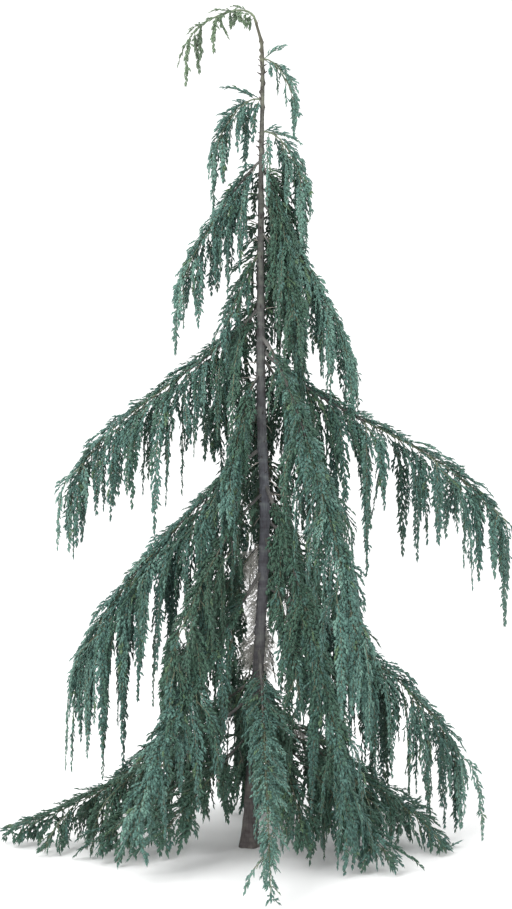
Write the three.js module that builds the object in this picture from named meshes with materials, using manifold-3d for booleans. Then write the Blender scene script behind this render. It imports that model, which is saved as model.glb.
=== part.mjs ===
// A weeping cypress, a slender garden conifer 3.2 m tall, rooted in the ground.
//
// Millimetres, +Z up. The origin is the middle of the flat cut under the trunk.
// Bearings are degrees seen from above: 0 is right, 90 is the back, 180 is left, 270 is the front.
//
// One trunk runs up through the crown and nods over at its tip. Boughs leave it at named heights,
// arch out and down, and carry rows of hanging tails. Every bough is grown by the same rule from
// its own named sizes and a seed. A large bough is a bare limb near the trunk, and a mass of
// foliage that goes on from the limb's tip. A small one is a mass whose stem starts at the trunk.

import * as THREE from 'three';
import { mergeVertices } from 'three/addons/utils/BufferGeometryUtils.js';
import Module from 'manifold-3d';

const wasm = await Module();
wasm.setup();

// Trunk: how far it leans to the right, and how thick it is, at each height
const TRUNK_STATIONS = [
  { height: 0, lean: 0, width: 62 },
  { height: 340, lean: 14, width: 47 },
  { height: 1180, lean: 57, width: 37 },
  { height: 1710, lean: 44, width: 34 },
  { height: 2530, lean: 44, width: 20 },
  { height: 3020, lean: 48, width: 12.5 },
  { height: 3130, lean: 22, width: 10 },
];
const TRUNK_TOP = 3130;
const TRUNK_SIDES = 10;
const TRUNK_RING_STEP = 180;
const NOD_RING_DROP = 60;

// The swelling at the foot of the trunk, with its lobes
const FLARE_WIDTH = 24;
const FLARE_HEIGHT = 45;
const FLARE_LOBES = 5;
const FLARE_LOBE_DEPTH = 0.3;
const FLARE_RING_HEIGHTS = [22, 65];

// The share of a large bough that is a bare limb, and of a small one that carries no tails
const LIMB = 0.18;
const NO_LIMB = 0;
const SHORT_BARE = 0.07;
const TAILS_START_AFTER = 0.02;

// Thickness of a bough at the trunk, from its length, and at its tip
const BOUGH_WIDTH = 5;
const BOUGH_WIDTH_PER_LENGTH = 0.0095;
const TWIG_WIDTH = 4;
const TAPER_POWER = 0.8;
const BRANCH_WIDTH_SHARE = 0.5;
const BRANCH_TIP_RADIUS = 1.3;

// How finely rods are built
const ROUTE_STEPS = 24;
const BRANCH_STEPS = 5;
const TAIL_STEPS = 6;
const SPRAY_STEPS = 4;
const LIMB_SIDES = 6;
const LIMB_RINGS = 4;
const TWIG_SIDES = 3;
const STEM_RINGS = 6;
const BRANCH_RINGS = 3;

// The gap that a piece keeps to every other piece
const GAP = 0.3;

// How far fusing may move a face to save triangles
const SIMPLIFY = 0.02;

// The rule of growth. Pairs are the lowest and highest value that the dice may give.
// A bough may swing round a little on its way out
const SWING = 12;
const BEND_POWER = 5;
const GROUND_CLEARANCE = 14;

// Tails: their distance along a bough, length as a share of the row's, angle to the bough and
// slope at the root
const TAIL_SPACING = 20;
const FIRST_TAIL = 0.4;
const TAIL_LENGTH = [0.55, 1.12];
const TAIL_YAW = [45, 95];
const TAIL_LIFT = [-35, -5];
const TAIL_LIFT_LIMIT = 0.8;
const TAIL_BEND_POWER = 4;
const SHORTEST_TAIL = 30;

// Tails hang steeply high up, and lie flatter where they come near the ground
const HIGH_HANG = -88;
const LOW_HANG = -62;
const NEAR_GROUND = 40;
const HIGH_HANG_ABOVE = 300;

// Short sprays on a bough's upper side: the angle to the bough, the length, and how far their
// slopes at root, middle and tip differ from the bough's
const SPRAY_YAW = [15, 50];
const SPRAY_LENGTH = [70, 120];
const SPRAY_SLOPES = [28, 5, -25];

// Side branches, and the tails along each of them
const BRANCH_SPACING = 180;
const FEWEST_BRANCHES = 2;
const LAST_BRANCH = 0.92;
const SHORTEST_BRANCH = 70;
const BRANCH_LENGTH = [0.7, 1.3];
const BRANCH_YAW = [35, 60];
const BRANCH_LIFT = 10;
const BRANCH_SAG = 5;
const BRANCH_TIP_SLOPE = -85;
const BRANCH_TAIL_SPACING = 34;
const BRANCH_FIRST_TAIL = 0.25;
const BRANCH_TAIL_LENGTH = [0.5, 0.95];
const BRANCH_TAIL_YAW = [20, 70];
const BRANCH_TAIL_LIFT = [-40, -15];

// The solids carry one in so many of the grown twigs
const TAILS_PER_SOLID = 3;
const BRANCHES_PER_SOLID = 5;
const BRANCH_TAILS_PER_SOLID = 3;
const SPRAYS_PER_SOLID = 3;
const FIRST_SPRAY = 2;
const LONGEST_SPRAYED = 315;

// A tail is a blade: places of its rings along it, and their half widths, both as shares
const BLADE_RINGS = [0, 0.12, 0.33, 1];
const BLADE_WIDTHS = [0, 0.6, 1, 0];
const BLADE_ROOT = 1.3;
const BLADE_LEAST = 5;
const BLADE_WIDEST = 50;
const BLADE_WIDTH_SHARE = 0.13;
const BLADE_THICKNESS = 0.4;
const BLADE_THINNEST = 1.6;

// A spray is a leaf, widest part of the way along it, with its root sunk in the bough
const SPRAY_HALF_WIDTH = 9;
const SPRAY_WIDEST_AT = 0.4;
const SPRAY_SUNK = -0.05;

// Colours
const BARK = { color: 0x5c5e5e, roughness: 0.9, metalness: 0 };
const LIMB_BARK = { color: 0x6a6864, roughness: 0.85, metalness: 0 };
const FOLIAGE = { color: 0x54685f, roughness: 0.7, metalness: 0 };
const LEADER_FOLIAGE = { color: 0x849181, roughness: 0.7, metalness: 0 };

// One row for each bough: its name, the height of its foot, its bearing and length, its slope at
// the foot, along the middle and at the tip, the length of its tails at the foot, middle and tip,
// the reach of its side branches as a share of its length, the share that is a bare limb, and
// the seed of its dice
const BOUGHS = [
  bough('leader', 3128, 180, 290, [84, -24, -60], [60, 110, 250], 0, NO_LIMB, 894),
  bough('right_top', 2980, 0, 185, [14, -58, -83], [80, 120, 220], 0, NO_LIMB, 70),
  bough('left_top', 2825, 181, 280, [27, -55, -88], [290, 250, 310], 0.12, NO_LIMB, 684),
  bough('right_crest', 2705, 350, 295, [11, -62, -83], [430, 330, 250], 0.12, NO_LIMB, 540),
  bough('left_crest', 2600, 187, 615, [-44, -57, -83], [460, 340, 270], 0.1, NO_LIMB, 735),
  bough('back_crest', 2575, 27, 345, [-32, -64, -89], [340, 290, 170], 0.1, NO_LIMB, 494),
  bough('right_upper', 2440, 5, 715, [-44, -61, -82], [400, 420, 290], 0.1, LIMB, 881),
  bough('left_middle', 2050, 177, 1045, [-53, -34, -86], [560, 500, 250], 0.1, LIMB, 350),
  bough('right_middle', 1890, 1, 1215, [-51, -25, -87], [540, 530, 230], 0.1, LIMB, 938),
  bough('front_right_high', 1935, 296, 1400, [-30, -59, -80], [240, 380, 390], 0.08, LIMB, 835),
  bough('left_wide', 1510, 185, 1105, [-35, -48, -76], [750, 710, 390], 0.12, LIMB, 822),
  bough('front_right_low', 1385, 303, 1315, [-52, -65, -87], [390, 380, 310], 0.1, LIMB, 53),
  bough('left_front', 1050, 229, 1125, [-44, -43, -72], [390, 370, 120], 0.08, LIMB, 684),
  bough('right_wide', 990, 10, 1085, [-27, -38, -88], [610, 580, 370], 0.12, LIMB, 530),
  bough('front_low', 750, 272, 1160, [-20, -36, -62], [240, 190, 140], 0.06, LIMB, 77),
  bough('left_foot', 595, 186, 1100, [-48, -28, -18], [240, 280, 150], 0.2, LIMB, 523),
  bough('left_low_foot', 430, 205, 700, [-42, -24, -42], [220, 290, 140], 0.2, NO_LIMB, 506),
  bough('right_foot', 525, 352, 850, [-39, -30, -54], [390, 400, 120], 0.2, LIMB, 595),
  bough('front_right_foot', 460, 316, 760, [-13, -35, -43], [350, 220, 210], 0.15, LIMB, 842),
  bough('front_right_skirt', 590, 292, 610, [-42, -42, -81], [300, 250, 170], 0.15, NO_LIMB, 647),
  bough('front_right_inner', 1180, 286, 720, [-40, -58, -85], [300, 300, 250], 0.1, NO_LIMB, 440),
  bough('left_inner_high', 2250, 204, 335, [-45, -67, -75], [240, 160, 210], 0, NO_LIMB, 840),
  bough('back_high', 2330, 66, 620, [-35, -56, -85], [330, 330, 250], 0.1, NO_LIMB, 474),
  bough('back_left_high', 2080, 118, 600, [-40, -55, -85], [330, 330, 260], 0.1, NO_LIMB, 491),
  bough('back_right_middle', 1860, 55, 850, [-35, -48, -85], [420, 400, 300], 0.12, LIMB, 508),
  bough('back_left_middle', 1700, 107, 850, [-38, -50, -85], [460, 430, 300], 0.12, LIMB, 525),
  bough('left_inner_middle', 1795, 234, 525, [-35, -69, -81], [400, 330, 380], 0.08, NO_LIMB, 809),
  bough('back_middle', 1500, 80, 1000, [-30, -42, -85], [460, 430, 300], 0.12, LIMB, 559),
  bough('back_right_low', 1240, 42, 1050, [-30, -45, -85], [460, 420, 300], 0.12, LIMB, 576),
  bough('back_left_low', 1150, 136, 880, [-32, -50, -85], [460, 420, 300], 0.12, LIMB, 593),
  bough('front_left_low', 1340, 222, 905, [-29, -53, -86], [370, 490, 190], 0.1, LIMB, 116),
  bough('back_low', 880, 95, 1050, [-28, -40, -80], [400, 360, 260], 0.15, LIMB, 627),
  bough('back_left_foot', 645, 142, 995, [-36, -30, -48], [300, 190, 130], 0.2, LIMB, 417),
  bough('back_right_foot', 540, 45, 1065, [-25, -32, -52], [250, 200, 190], 0.2, LIMB, 857),
  bough('back_foot', 340, 85, 875, [-15, -27, -35], [210, 190, 130], 0.2, NO_LIMB, 299),
  bough('front_left_foot', 460, 239, 635, [-30, -27, -43], [190, 170, 110], 0.12, NO_LIMB, 822),
];

function bough(name, height, bearing, length, slopes, tails, spread, limb, seed) {
  return { name, height, bearing, length, slopes, tails, spread, limb, seed };
}

// Seeded dice: the same seed gives the same tree each time
function makeDice(seed) {
  const MODULUS = 4294967296;
  const MULTIPLIER = 1664525;
  const INCREMENT = 1013904223;
  const WARM_UP = 3;
  let state = seed;
  const roll = () => {
    state = (state * MULTIPLIER + INCREMENT) % MODULUS;
    return state / MODULUS;
  };
  for (let i = 0; i < WARM_UP; i++) roll();
  return ([low, high]) => low + (high - low) * roll();
}

const radians = (degrees) => (degrees * Math.PI) / 180;
const mix = (a, b, t) => a + (b - a) * t;

// Even steps from one value to another
const steps = (from, to, count) => Array.from({ length: count }, (_, i) => mix(from, to, i / (count - 1)));

// A smooth value between the trunk's stations
function trunkValue(key, height) {
  const last = TRUNK_STATIONS.length - 1;
  let i = 0;
  while (i < last - 1 && height > TRUNK_STATIONS[i + 1].height) i += 1;
  const changeAt = (k) => {
    const before = TRUNK_STATIONS[Math.max(k - 1, 0)];
    const after = TRUNK_STATIONS[Math.min(k + 1, last)];
    return (after[key] - before[key]) / (after.height - before.height);
  };
  const low = TRUNK_STATIONS[i];
  const high = TRUNK_STATIONS[i + 1];
  const span = high.height - low.height;
  const t = (height - low.height) / span;
  const rise = t * t * (3 - 2 * t);
  const startPull = t * (1 - t) * (1 - t) * span * changeAt(i);
  const endPull = t * t * (t - 1) * span * changeAt(i + 1);
  return mix(low[key], high[key], rise) + startPull + endPull;
}

// The slope of a limb or twig at a share of its length
function slopeAt([foot, middle, tip], share) {
  const footPull = (foot - middle) * (1 - share) ** BEND_POWER;
  const tipPull = (tip - middle) * share ** BEND_POWER;
  return middle + footPull + tipPull;
}

// Points along a limb or twig that starts at a point and turns as its slopes say
function grow(start, bearing, swing, length, slopeOf, count) {
  const points = [start.clone()];
  for (let i = 0; i < count; i++) {
    const share = (i + 0.5) / count;
    const slope = radians(slopeOf(share));
    const turn = radians(bearing + swing * share);
    const flat = Math.cos(slope);
    const move = new THREE.Vector3(flat * Math.cos(turn), flat * Math.sin(turn), Math.sin(slope));
    const next = points[i].clone().addScaledVector(move, length / count);
    next.z = Math.max(next.z, GROUND_CLEARANCE);
    points.push(next);
  }
  return points;
}

// The point at a share of the way along a row of points
function along(points, share) {
  const last = points.length - 1;
  const i = Math.min(Math.floor(share * last), last - 1);
  return points[i].clone().lerp(points[i + 1], share * last - i);
}

// A tail leaves its bough sideways, bends over and hangs, and stops short of the ground
function growTail(start, bearing, wanted, lift) {
  const height = (start.z - NEAR_GROUND) / HIGH_HANG_ABOVE;
  const hang = mix(LOW_HANG, HIGH_HANG, Math.min(Math.max(height, 0), 1));
  const slopeOf = (share) => mix(hang, Math.max(lift, hang), (1 - share) ** TAIL_BEND_POWER);
  let drop = 0;
  for (let i = 0; i < TAIL_STEPS; i++) {
    drop -= Math.sin(radians(slopeOf((i + 0.5) / TAIL_STEPS))) / TAIL_STEPS;
  }
  const length = Math.min(wanted, (start.z - GROUND_CLEARANCE) / drop);
  if (length < SHORTEST_TAIL) return null;
  return { points: grow(start, bearing, 0, length, slopeOf, TAIL_STEPS), bearing, length };
}

// The length of a bough's tails at a share of its length
function tailLength([foot, middle, tip], share) {
  return share < 0.5 ? mix(foot, middle, share * 2) : mix(middle, tip, share * 2 - 1);
}

// A short spray that points outward from the upper side of a bough
function growSpray(start, bearing, slope, length) {
  const slopes = SPRAY_SLOPES.map((turn) => slope + turn);
  const points = grow(start, bearing, 0, length, (share) => slopeAt(slopes, share), SPRAY_STEPS);
  return { points, bearing };
}

// The tails and sprays along a bough, on its left and right by turns
function growEdges(shape, swing, points, dice) {
  const first = (shape.limb || SHORT_BARE) * FIRST_TAIL;
  const count = Math.floor((shape.length * (1 - first)) / TAIL_SPACING);
  const tails = [];
  const sprays = [];
  for (let i = 0; i <= count; i++) {
    const side = i % 2 ? -1 : 1;
    const share = mix(first, 1, i / count);
    const order = count - i;
    const start = along(points, share);
    const bearing = shape.bearing + swing * share;
    const slope = slopeAt(shape.slopes, share);
    const length = tailLength(shape.tails, share) * dice(TAIL_LENGTH);
    const tailBearing = bearing + side * dice(TAIL_YAW);
    const lift = Math.min(dice(TAIL_LIFT), slope * TAIL_LIFT_LIMIT);
    const tail = growTail(start, tailBearing, length, lift);
    if (tail) tails.push({ ...tail, share, order });
    const sprayBearing = bearing - side * dice(SPRAY_YAW);
    sprays.push({ ...growSpray(start, sprayBearing, slope, dice(SPRAY_LENGTH)), share, order });
  }
  return { tails, sprays };
}

// The tails along a side branch
function growBranchTails(shape, share, branch, dice) {
  const count = Math.floor(branch.length / BRANCH_TAIL_SPACING);
  const tails = [];
  for (let i = 0; i < count; i++) {
    const side = i % 2 ? -1 : 1;
    const place = mix(BRANCH_FIRST_TAIL, 1, (i + 0.5) / count);
    const wanted = tailLength(shape.tails, share) * dice(BRANCH_TAIL_LENGTH);
    const bearing = branch.bearing + side * dice(BRANCH_TAIL_YAW);
    const tail = growTail(along(branch.points, place), bearing, wanted, dice(BRANCH_TAIL_LIFT));
    if (tail) tails.push({ ...tail, share: place, order: count - 1 - i });
  }
  return tails;
}

// The side branches of a bough, on its left and right by turns
function growBranches(shape, swing, points, dice) {
  if (!shape.spread) return [];
  const count = Math.max(FEWEST_BRANCHES, Math.floor(shape.length / BRANCH_SPACING));
  const middle = shape.slopes[1];
  const slopes = [middle + BRANCH_LIFT, middle - BRANCH_SAG, BRANCH_TIP_SLOPE];
  const branches = [];
  for (let i = 0; i < count; i++) {
    const side = i % 2 ? -1 : 1;
    const share = mix(shape.limb || SHORT_BARE, LAST_BRANCH, (i + 0.5) / count);
    const length = Math.max(SHORTEST_BRANCH, shape.length * shape.spread * dice(BRANCH_LENGTH));
    const bearing = shape.bearing + swing * share + side * dice(BRANCH_YAW);
    const start = along(points, share);
    const route = grow(start, bearing, 0, length, (s) => slopeAt(slopes, s), BRANCH_STEPS);
    const branch = { points: route, bearing, length, share };
    branches.push({ ...branch, order: i, tails: growBranchTails(shape, share, branch, dice) });
  }
  return branches;
}

// A bough and everything that it carries
function growBough(shape) {
  const dice = makeDice(shape.seed);
  const swing = dice([-SWING, SWING]);
  const foot = new THREE.Vector3(trunkValue('lean', shape.height), 0, shape.height);
  const slopeOf = (share) => slopeAt(shape.slopes, share);
  const points = grow(foot, shape.bearing, swing, shape.length, slopeOf, ROUTE_STEPS);
  const { tails, sprays } = growEdges(shape, swing, points, dice);
  const branches = growBranches(shape, swing, points, dice);
  return { shape, swing, points, tails, sprays, branches };
}

// A closed solid from a three.js geometry
function toSolid(geometry) {
  const bare = geometry.clone();
  bare.deleteAttribute('normal');
  bare.deleteAttribute('uv');
  const merged = mergeVertices(bare);
  const vertProperties = merged.attributes.position.array;
  const triVerts = new Uint32Array(merged.index.array);
  return new wasm.Manifold(new wasm.Mesh({ numProp: 3, vertProperties, triVerts }));
}

// The direction along a row of points at a share of its length
function heading(points, share) {
  const STEP = 0.02;
  const ahead = along(points, Math.min(share + STEP, 1));
  return ahead.sub(along(points, Math.max(share - STEP, 0))).normalize();
}

// A tapering rod along a row of points: a cylinder whose rings are moved to shares of the row.
// Each ring has its own half width and half thickness, and a last half width of 0 makes a point
function rod(points, shares, across, halfWidths, halfThicknesses, sides) {
  const AXIS_TOLERANCE = 1e-6;
  const rings = shares.length;
  const tip = halfWidths[rings - 1] === 0 ? 0 : 1;
  const geometry = new THREE.CylinderGeometry(tip, 1, 1, sides, rings - 1);
  const position = geometry.attributes.position;
  const vertex = new THREE.Vector3();
  for (let i = 0; i < position.count; i++) {
    vertex.fromBufferAttribute(position, i);
    const ring = Math.round((vertex.y + 0.5) * (rings - 1));
    const angle = Math.atan2(vertex.x, vertex.z);
    const reach = Math.hypot(vertex.x, vertex.z) < AXIS_TOLERANCE ? 0 : 1;
    const tangent = heading(points, shares[ring]);
    const side = across(shares[ring]);
    side.addScaledVector(tangent, -side.dot(tangent)).normalize();
    const up = new THREE.Vector3().crossVectors(side, tangent);
    vertex.copy(along(points, shares[ring]));
    vertex.addScaledVector(side, reach * halfWidths[ring] * Math.sin(angle));
    vertex.addScaledVector(up, reach * halfThicknesses[ring] * Math.cos(angle));
    position.setXYZ(i, vertex.x, vertex.y, vertex.z);
  }
  return toSolid(geometry);
}

// The level direction at right angles to a bearing
function crossways(bearing) {
  return new THREE.Vector3(-Math.sin(radians(bearing)), Math.cos(radians(bearing)), 0);
}

// Half the thickness of a bough at a share of its length
function boughRadius(length, share) {
  const foot = BOUGH_WIDTH + BOUGH_WIDTH_PER_LENGTH * length;
  return mix(foot, TWIG_WIDTH, share ** TAPER_POWER) / 2;
}

// The middle of a rod as it is built, which cuts the corners of the route that it follows
function rodMiddle(points, from, rings) {
  const line = steps(from, 1, rings).map((share) => along(points, share));
  return (share) => along(line, (share - from) / (1 - from));
}

// A twig moved so that it starts at a point
function movedTo(start, twig) {
  const shift = start.clone().sub(twig.points[0]);
  return { ...twig, points: twig.points.map((point) => point.clone().add(shift)) };
}

// A round rod along a stretch of a bough
function boughRod({ shape, swing, points }, from, to, rings, sides) {
  const shares = steps(from, to, rings);
  const radii = shares.map((share) => boughRadius(shape.length, share));
  const across = (share) => crossways(shape.bearing + swing * share);
  return rod(points, shares, across, radii, radii, sides);
}

// A side branch, thinner than its bough
function branchRod({ points, bearing, share }, boughLength) {
  const shares = steps(0, 1, BRANCH_RINGS);
  const foot = boughRadius(boughLength, share) * BRANCH_WIDTH_SHARE;
  const radii = steps(foot, BRANCH_TIP_RADIUS, BRANCH_RINGS);
  return rod(points, shares, () => crossways(bearing), radii, radii, TWIG_SIDES);
}

// Half the width of the trunk's flare at a height and an angle round the trunk
function flareAt(height, angle) {
  const lobe = 1 + FLARE_LOBE_DEPTH * Math.cos(FLARE_LOBES * angle);
  return (FLARE_WIDTH / 2) * Math.exp(-height / FLARE_HEIGHT) * lobe;
}

// The trunk, larger all round by a margin
function trunkSolid(margin) {
  const heights = steps(0, TRUNK_TOP, Math.round(TRUNK_TOP / TRUNK_RING_STEP) + 1);
  heights.push(...FLARE_RING_HEIGHTS, TRUNK_TOP - NOD_RING_DROP);
  heights.sort((a, b) => a - b);
  const last = heights.length - 1;
  const geometry = new THREE.CylinderGeometry(1, 1, 1, TRUNK_SIDES, last);
  const position = geometry.attributes.position;
  for (let i = 0; i < position.count; i++) {
    const ring = Math.round((position.getY(i) + 0.5) * last);
    const height = heights[ring];
    const x = position.getX(i);
    const y = -position.getZ(i);
    const radius = trunkValue('width', height) / 2 + flareAt(height, Math.atan2(y, x)) + margin;
    const ends = { 0: -margin, [last]: margin };
    const z = height + (ends[ring] ?? 0);
    position.setXYZ(i, trunkValue('lean', height) + x * radius, y * radius, z);
  }
  return toSolid(geometry);
}

// A tail: a blade, widest in its upper third and thin at its tip
function tailSolid({ points, bearing, length }) {
  const widest = Math.min(BLADE_WIDEST, BLADE_LEAST + length * BLADE_WIDTH_SHARE);
  const halfWidths = BLADE_WIDTHS.map((share, ring) => (ring ? share * widest : BLADE_ROOT));
  const thickness = (width) => width && Math.max(width * BLADE_THICKNESS, BLADE_THINNEST);
  const across = () => crossways(bearing);
  return rod(points, BLADE_RINGS, across, halfWidths, halfWidths.map(thickness), TWIG_SIDES);
}

// A short spray on a bough: a leaf of eight faces
function spraySolid({ points, bearing }) {
  const root = points[0];
  const axis = points[points.length - 1].clone().sub(root);
  const side = crossways(bearing);
  const up = new THREE.Vector3().crossVectors(axis, side).normalize();
  const geometry = new THREE.OctahedronGeometry(1);
  const position = geometry.attributes.position;
  for (let i = 0; i < position.count; i++) {
    const end = position.getX(i) > 0 ? 1 : SPRAY_SUNK;
    const vertex = root.clone();
    vertex.addScaledVector(axis, mix(SPRAY_WIDEST_AT, end, Math.abs(position.getX(i))));
    vertex.addScaledVector(side, position.getY(i) * SPRAY_HALF_WIDTH);
    vertex.addScaledVector(up, position.getZ(i) * SPRAY_HALF_WIDTH * BLADE_THICKNESS);
    position.setXYZ(i, vertex.x, vertex.y, vertex.z);
  }
  return toSolid(geometry);
}

// Solids that are already in place, each with its box
const placed = [];

function place(solid) {
  placed.push({ solid, box: solid.boundingBox() });
  return solid;
}

// True if a solid keeps the gap to everything in place but the twig that it grows from
function isClear(solid, parent) {
  const box = solid.boundingBox();
  const isNear = (other) => [0, 1, 2].every((k) => (
    box.min[k] < other.box.max[k] + GAP && box.max[k] > other.box.min[k] - GAP
  ));
  const near = placed.filter((other) => other.solid !== parent && isNear(other));
  return near.every((other) => solid.minGap(other.solid, GAP * 2) >= GAP);
}

// A twig is kept only where it touches nothing but the twig that it grows from
function addTwig(pieces, parent, solid) {
  if (!isClear(solid, parent)) return false;
  pieces.push(place(solid));
  return true;
}

// One closed body from pieces that overlap; loose scraps are dropped
function fuse(pieces) {
  const bodies = wasm.Manifold.union(pieces).simplify(SIMPLIFY).decompose();
  return bodies.reduce((best, body) => (body.volume() > best.volume() ? body : best));
}

// A mesh with its own material from a solid
function toMesh(name, solid, finish) {
  const { vertProperties, triVerts } = solid.getMesh();
  const geometry = new THREE.BufferGeometry();
  geometry.setAttribute('position', new THREE.BufferAttribute(vertProperties, 3));
  geometry.setIndex(new THREE.BufferAttribute(triVerts, 1));
  geometry.computeVertexNormals();
  const mesh = new THREE.Mesh(geometry, new THREE.MeshStandardMaterial(finish));
  mesh.name = name;
  return mesh;
}

// One in so many of a row of twigs, each moved to start on the middle of the rod that carries it
function chosen(twigs, oneIn, first, startShare, middle) {
  const isChosen = (twig) => twig.order % oneIn === first && twig.share >= startShare;
  return twigs.filter(isChosen).map((twig) => movedTo(middle(twig.share), twig));
}

// The pieces of a bough's mass: its stem, and the tails, branches and sprays that find room
function massPieces({ shape, stem, stemStart, points, tails, branches, sprays }) {
  const pieces = [stem];
  const start = (shape.limb || SHORT_BARE) + TAILS_START_AFTER;
  const middle = rodMiddle(points, stemStart, STEM_RINGS);
  for (const tail of chosen(tails, TAILS_PER_SOLID, 0, start, middle)) {
    addTwig(pieces, stem, tailSolid(tail));
  }
  for (const branch of chosen(branches, BRANCHES_PER_SOLID, 0, start, middle)) {
    const twig = branchRod(branch, shape.length);
    if (!addTwig(pieces, stem, twig)) continue;
    const branchMiddle = rodMiddle(branch.points, 0, BRANCH_RINGS);
    for (const tail of chosen(branch.tails, BRANCH_TAILS_PER_SOLID, 0, 0, branchMiddle)) {
      addTwig(pieces, twig, tailSolid(tail));
    }
  }
  if (shape.length > LONGEST_SPRAYED) return pieces;
  for (const spray of chosen(sprays, SPRAYS_PER_SOLID, FIRST_SPRAY, start, middle)) {
    addTwig(pieces, stem, spraySolid(spray));
  }
  return pieces;
}

const tree = new THREE.Group();

const trunk = place(trunkSolid(0));
const trunkRoom = trunkSolid(GAP);
tree.add(toMesh('trunk', trunk, BARK));

// Limbs and stems come first, so that tails give way to all of them.
// A stem starts a gap beyond its limb's tip. Without a limb it is cut back from the trunk
const boughs = BOUGHS.map((shape) => growBough(shape));
for (const grown of boughs) {
  const { name, length, limb } = grown.shape;
  if (limb) {
    const limbRod = boughRod(grown, 0, limb, LIMB_RINGS, LIMB_SIDES);
    tree.add(toMesh(`${name}_bough`, place(fuse([limbRod.subtract(trunkRoom)])), LIMB_BARK));
  }
  grown.stemStart = limb ? limb + GAP / length : 0;
  const stemRod = boughRod(grown, grown.stemStart, 1, STEM_RINGS, TWIG_SIDES);
  grown.stem = place(fuse([limb ? stemRod : stemRod.subtract(trunkRoom)]));
}

for (const grown of boughs) {
  const { name } = grown.shape;
  const finish = name === 'leader' ? LEADER_FOLIAGE : FOLIAGE;
  tree.add(toMesh(`${name}_foliage`, fuse(massPieces(grown)), finish));
}

export default tree;
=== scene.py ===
# %% [markdown]
# # A weeping cypress in Blender
#
# The plant is a garden conifer 3.2 m tall. One slender trunk runs up to a nodding tip, boughs arch
# out and down from it, and every bough carries rows of long hanging tails of scaly foliage. The
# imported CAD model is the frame: it gives the trunk, the limbs and one mass for each bough. This
# script grows the same boughs again by the same rule, and goes on from there to fine twigs.

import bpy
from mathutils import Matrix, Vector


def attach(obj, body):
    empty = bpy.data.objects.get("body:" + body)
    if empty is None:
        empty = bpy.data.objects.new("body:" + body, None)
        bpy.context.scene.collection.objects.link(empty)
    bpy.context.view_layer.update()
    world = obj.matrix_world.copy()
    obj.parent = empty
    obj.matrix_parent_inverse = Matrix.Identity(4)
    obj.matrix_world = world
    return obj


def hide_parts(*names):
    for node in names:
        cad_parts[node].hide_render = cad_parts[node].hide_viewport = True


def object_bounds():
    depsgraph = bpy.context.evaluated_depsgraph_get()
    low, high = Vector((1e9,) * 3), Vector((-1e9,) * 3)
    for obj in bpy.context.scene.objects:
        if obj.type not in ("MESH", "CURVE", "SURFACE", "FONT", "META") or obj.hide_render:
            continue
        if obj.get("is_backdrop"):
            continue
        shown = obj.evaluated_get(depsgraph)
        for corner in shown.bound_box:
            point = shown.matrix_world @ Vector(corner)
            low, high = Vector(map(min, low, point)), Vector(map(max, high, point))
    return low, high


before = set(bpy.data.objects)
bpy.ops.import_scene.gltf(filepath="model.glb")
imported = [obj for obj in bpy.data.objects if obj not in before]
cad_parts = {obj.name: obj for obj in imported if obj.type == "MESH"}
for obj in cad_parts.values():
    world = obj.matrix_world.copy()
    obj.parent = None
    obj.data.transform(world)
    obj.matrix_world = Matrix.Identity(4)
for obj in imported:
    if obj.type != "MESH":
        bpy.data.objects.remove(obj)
cad_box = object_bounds()


def say_box(title, box):
    print(title, [tuple(round(value, 3) for value in corner) for corner in box])


say_box("CAD box", cad_box)

# %% [markdown]
# ## Tools
#
# Bark and limbs are shaped with bmesh operators. There are about a hundred and fifty thousand
# leaves, so those are worked out in numpy arrays and joined, one mesh for each mass. Sizes in the
# tables are millimetres, as in the CAD source, and become metres where a mesh is made.

# %% Modules and units
import math

import bmesh
import bpy
import numpy as np
from mathutils import Vector, noise

MM = 0.001

# %% [markdown]
# ## The named sizes of the plant
#
# These are the CAD source's own values. The trunk leans a little, and it nods over at its top. Each
# row of the table is one bough: where it leaves the trunk, where it points, how long it is, how
# steeply it runs at its foot, middle and tip, how long its tails are there, how far its side
# branches reach, which share of it is a bare limb, and the seed of its dice.

# %% Trunk
TRUNK_HEIGHTS = [0, 340, 1180, 1710, 2530, 3020, 3130]
TRUNK_LEANS = [0, 14, 57, 44, 44, 48, 22]
TRUNK_WIDTHS = [62, 47, 37, 34, 20, 12.5, 10]
TRUNK_TOP = 3130
FLARE_WIDTH, FLARE_HEIGHT, FLARE_LOBES, FLARE_LOBE_DEPTH = 24, 45, 5, 0.3

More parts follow.
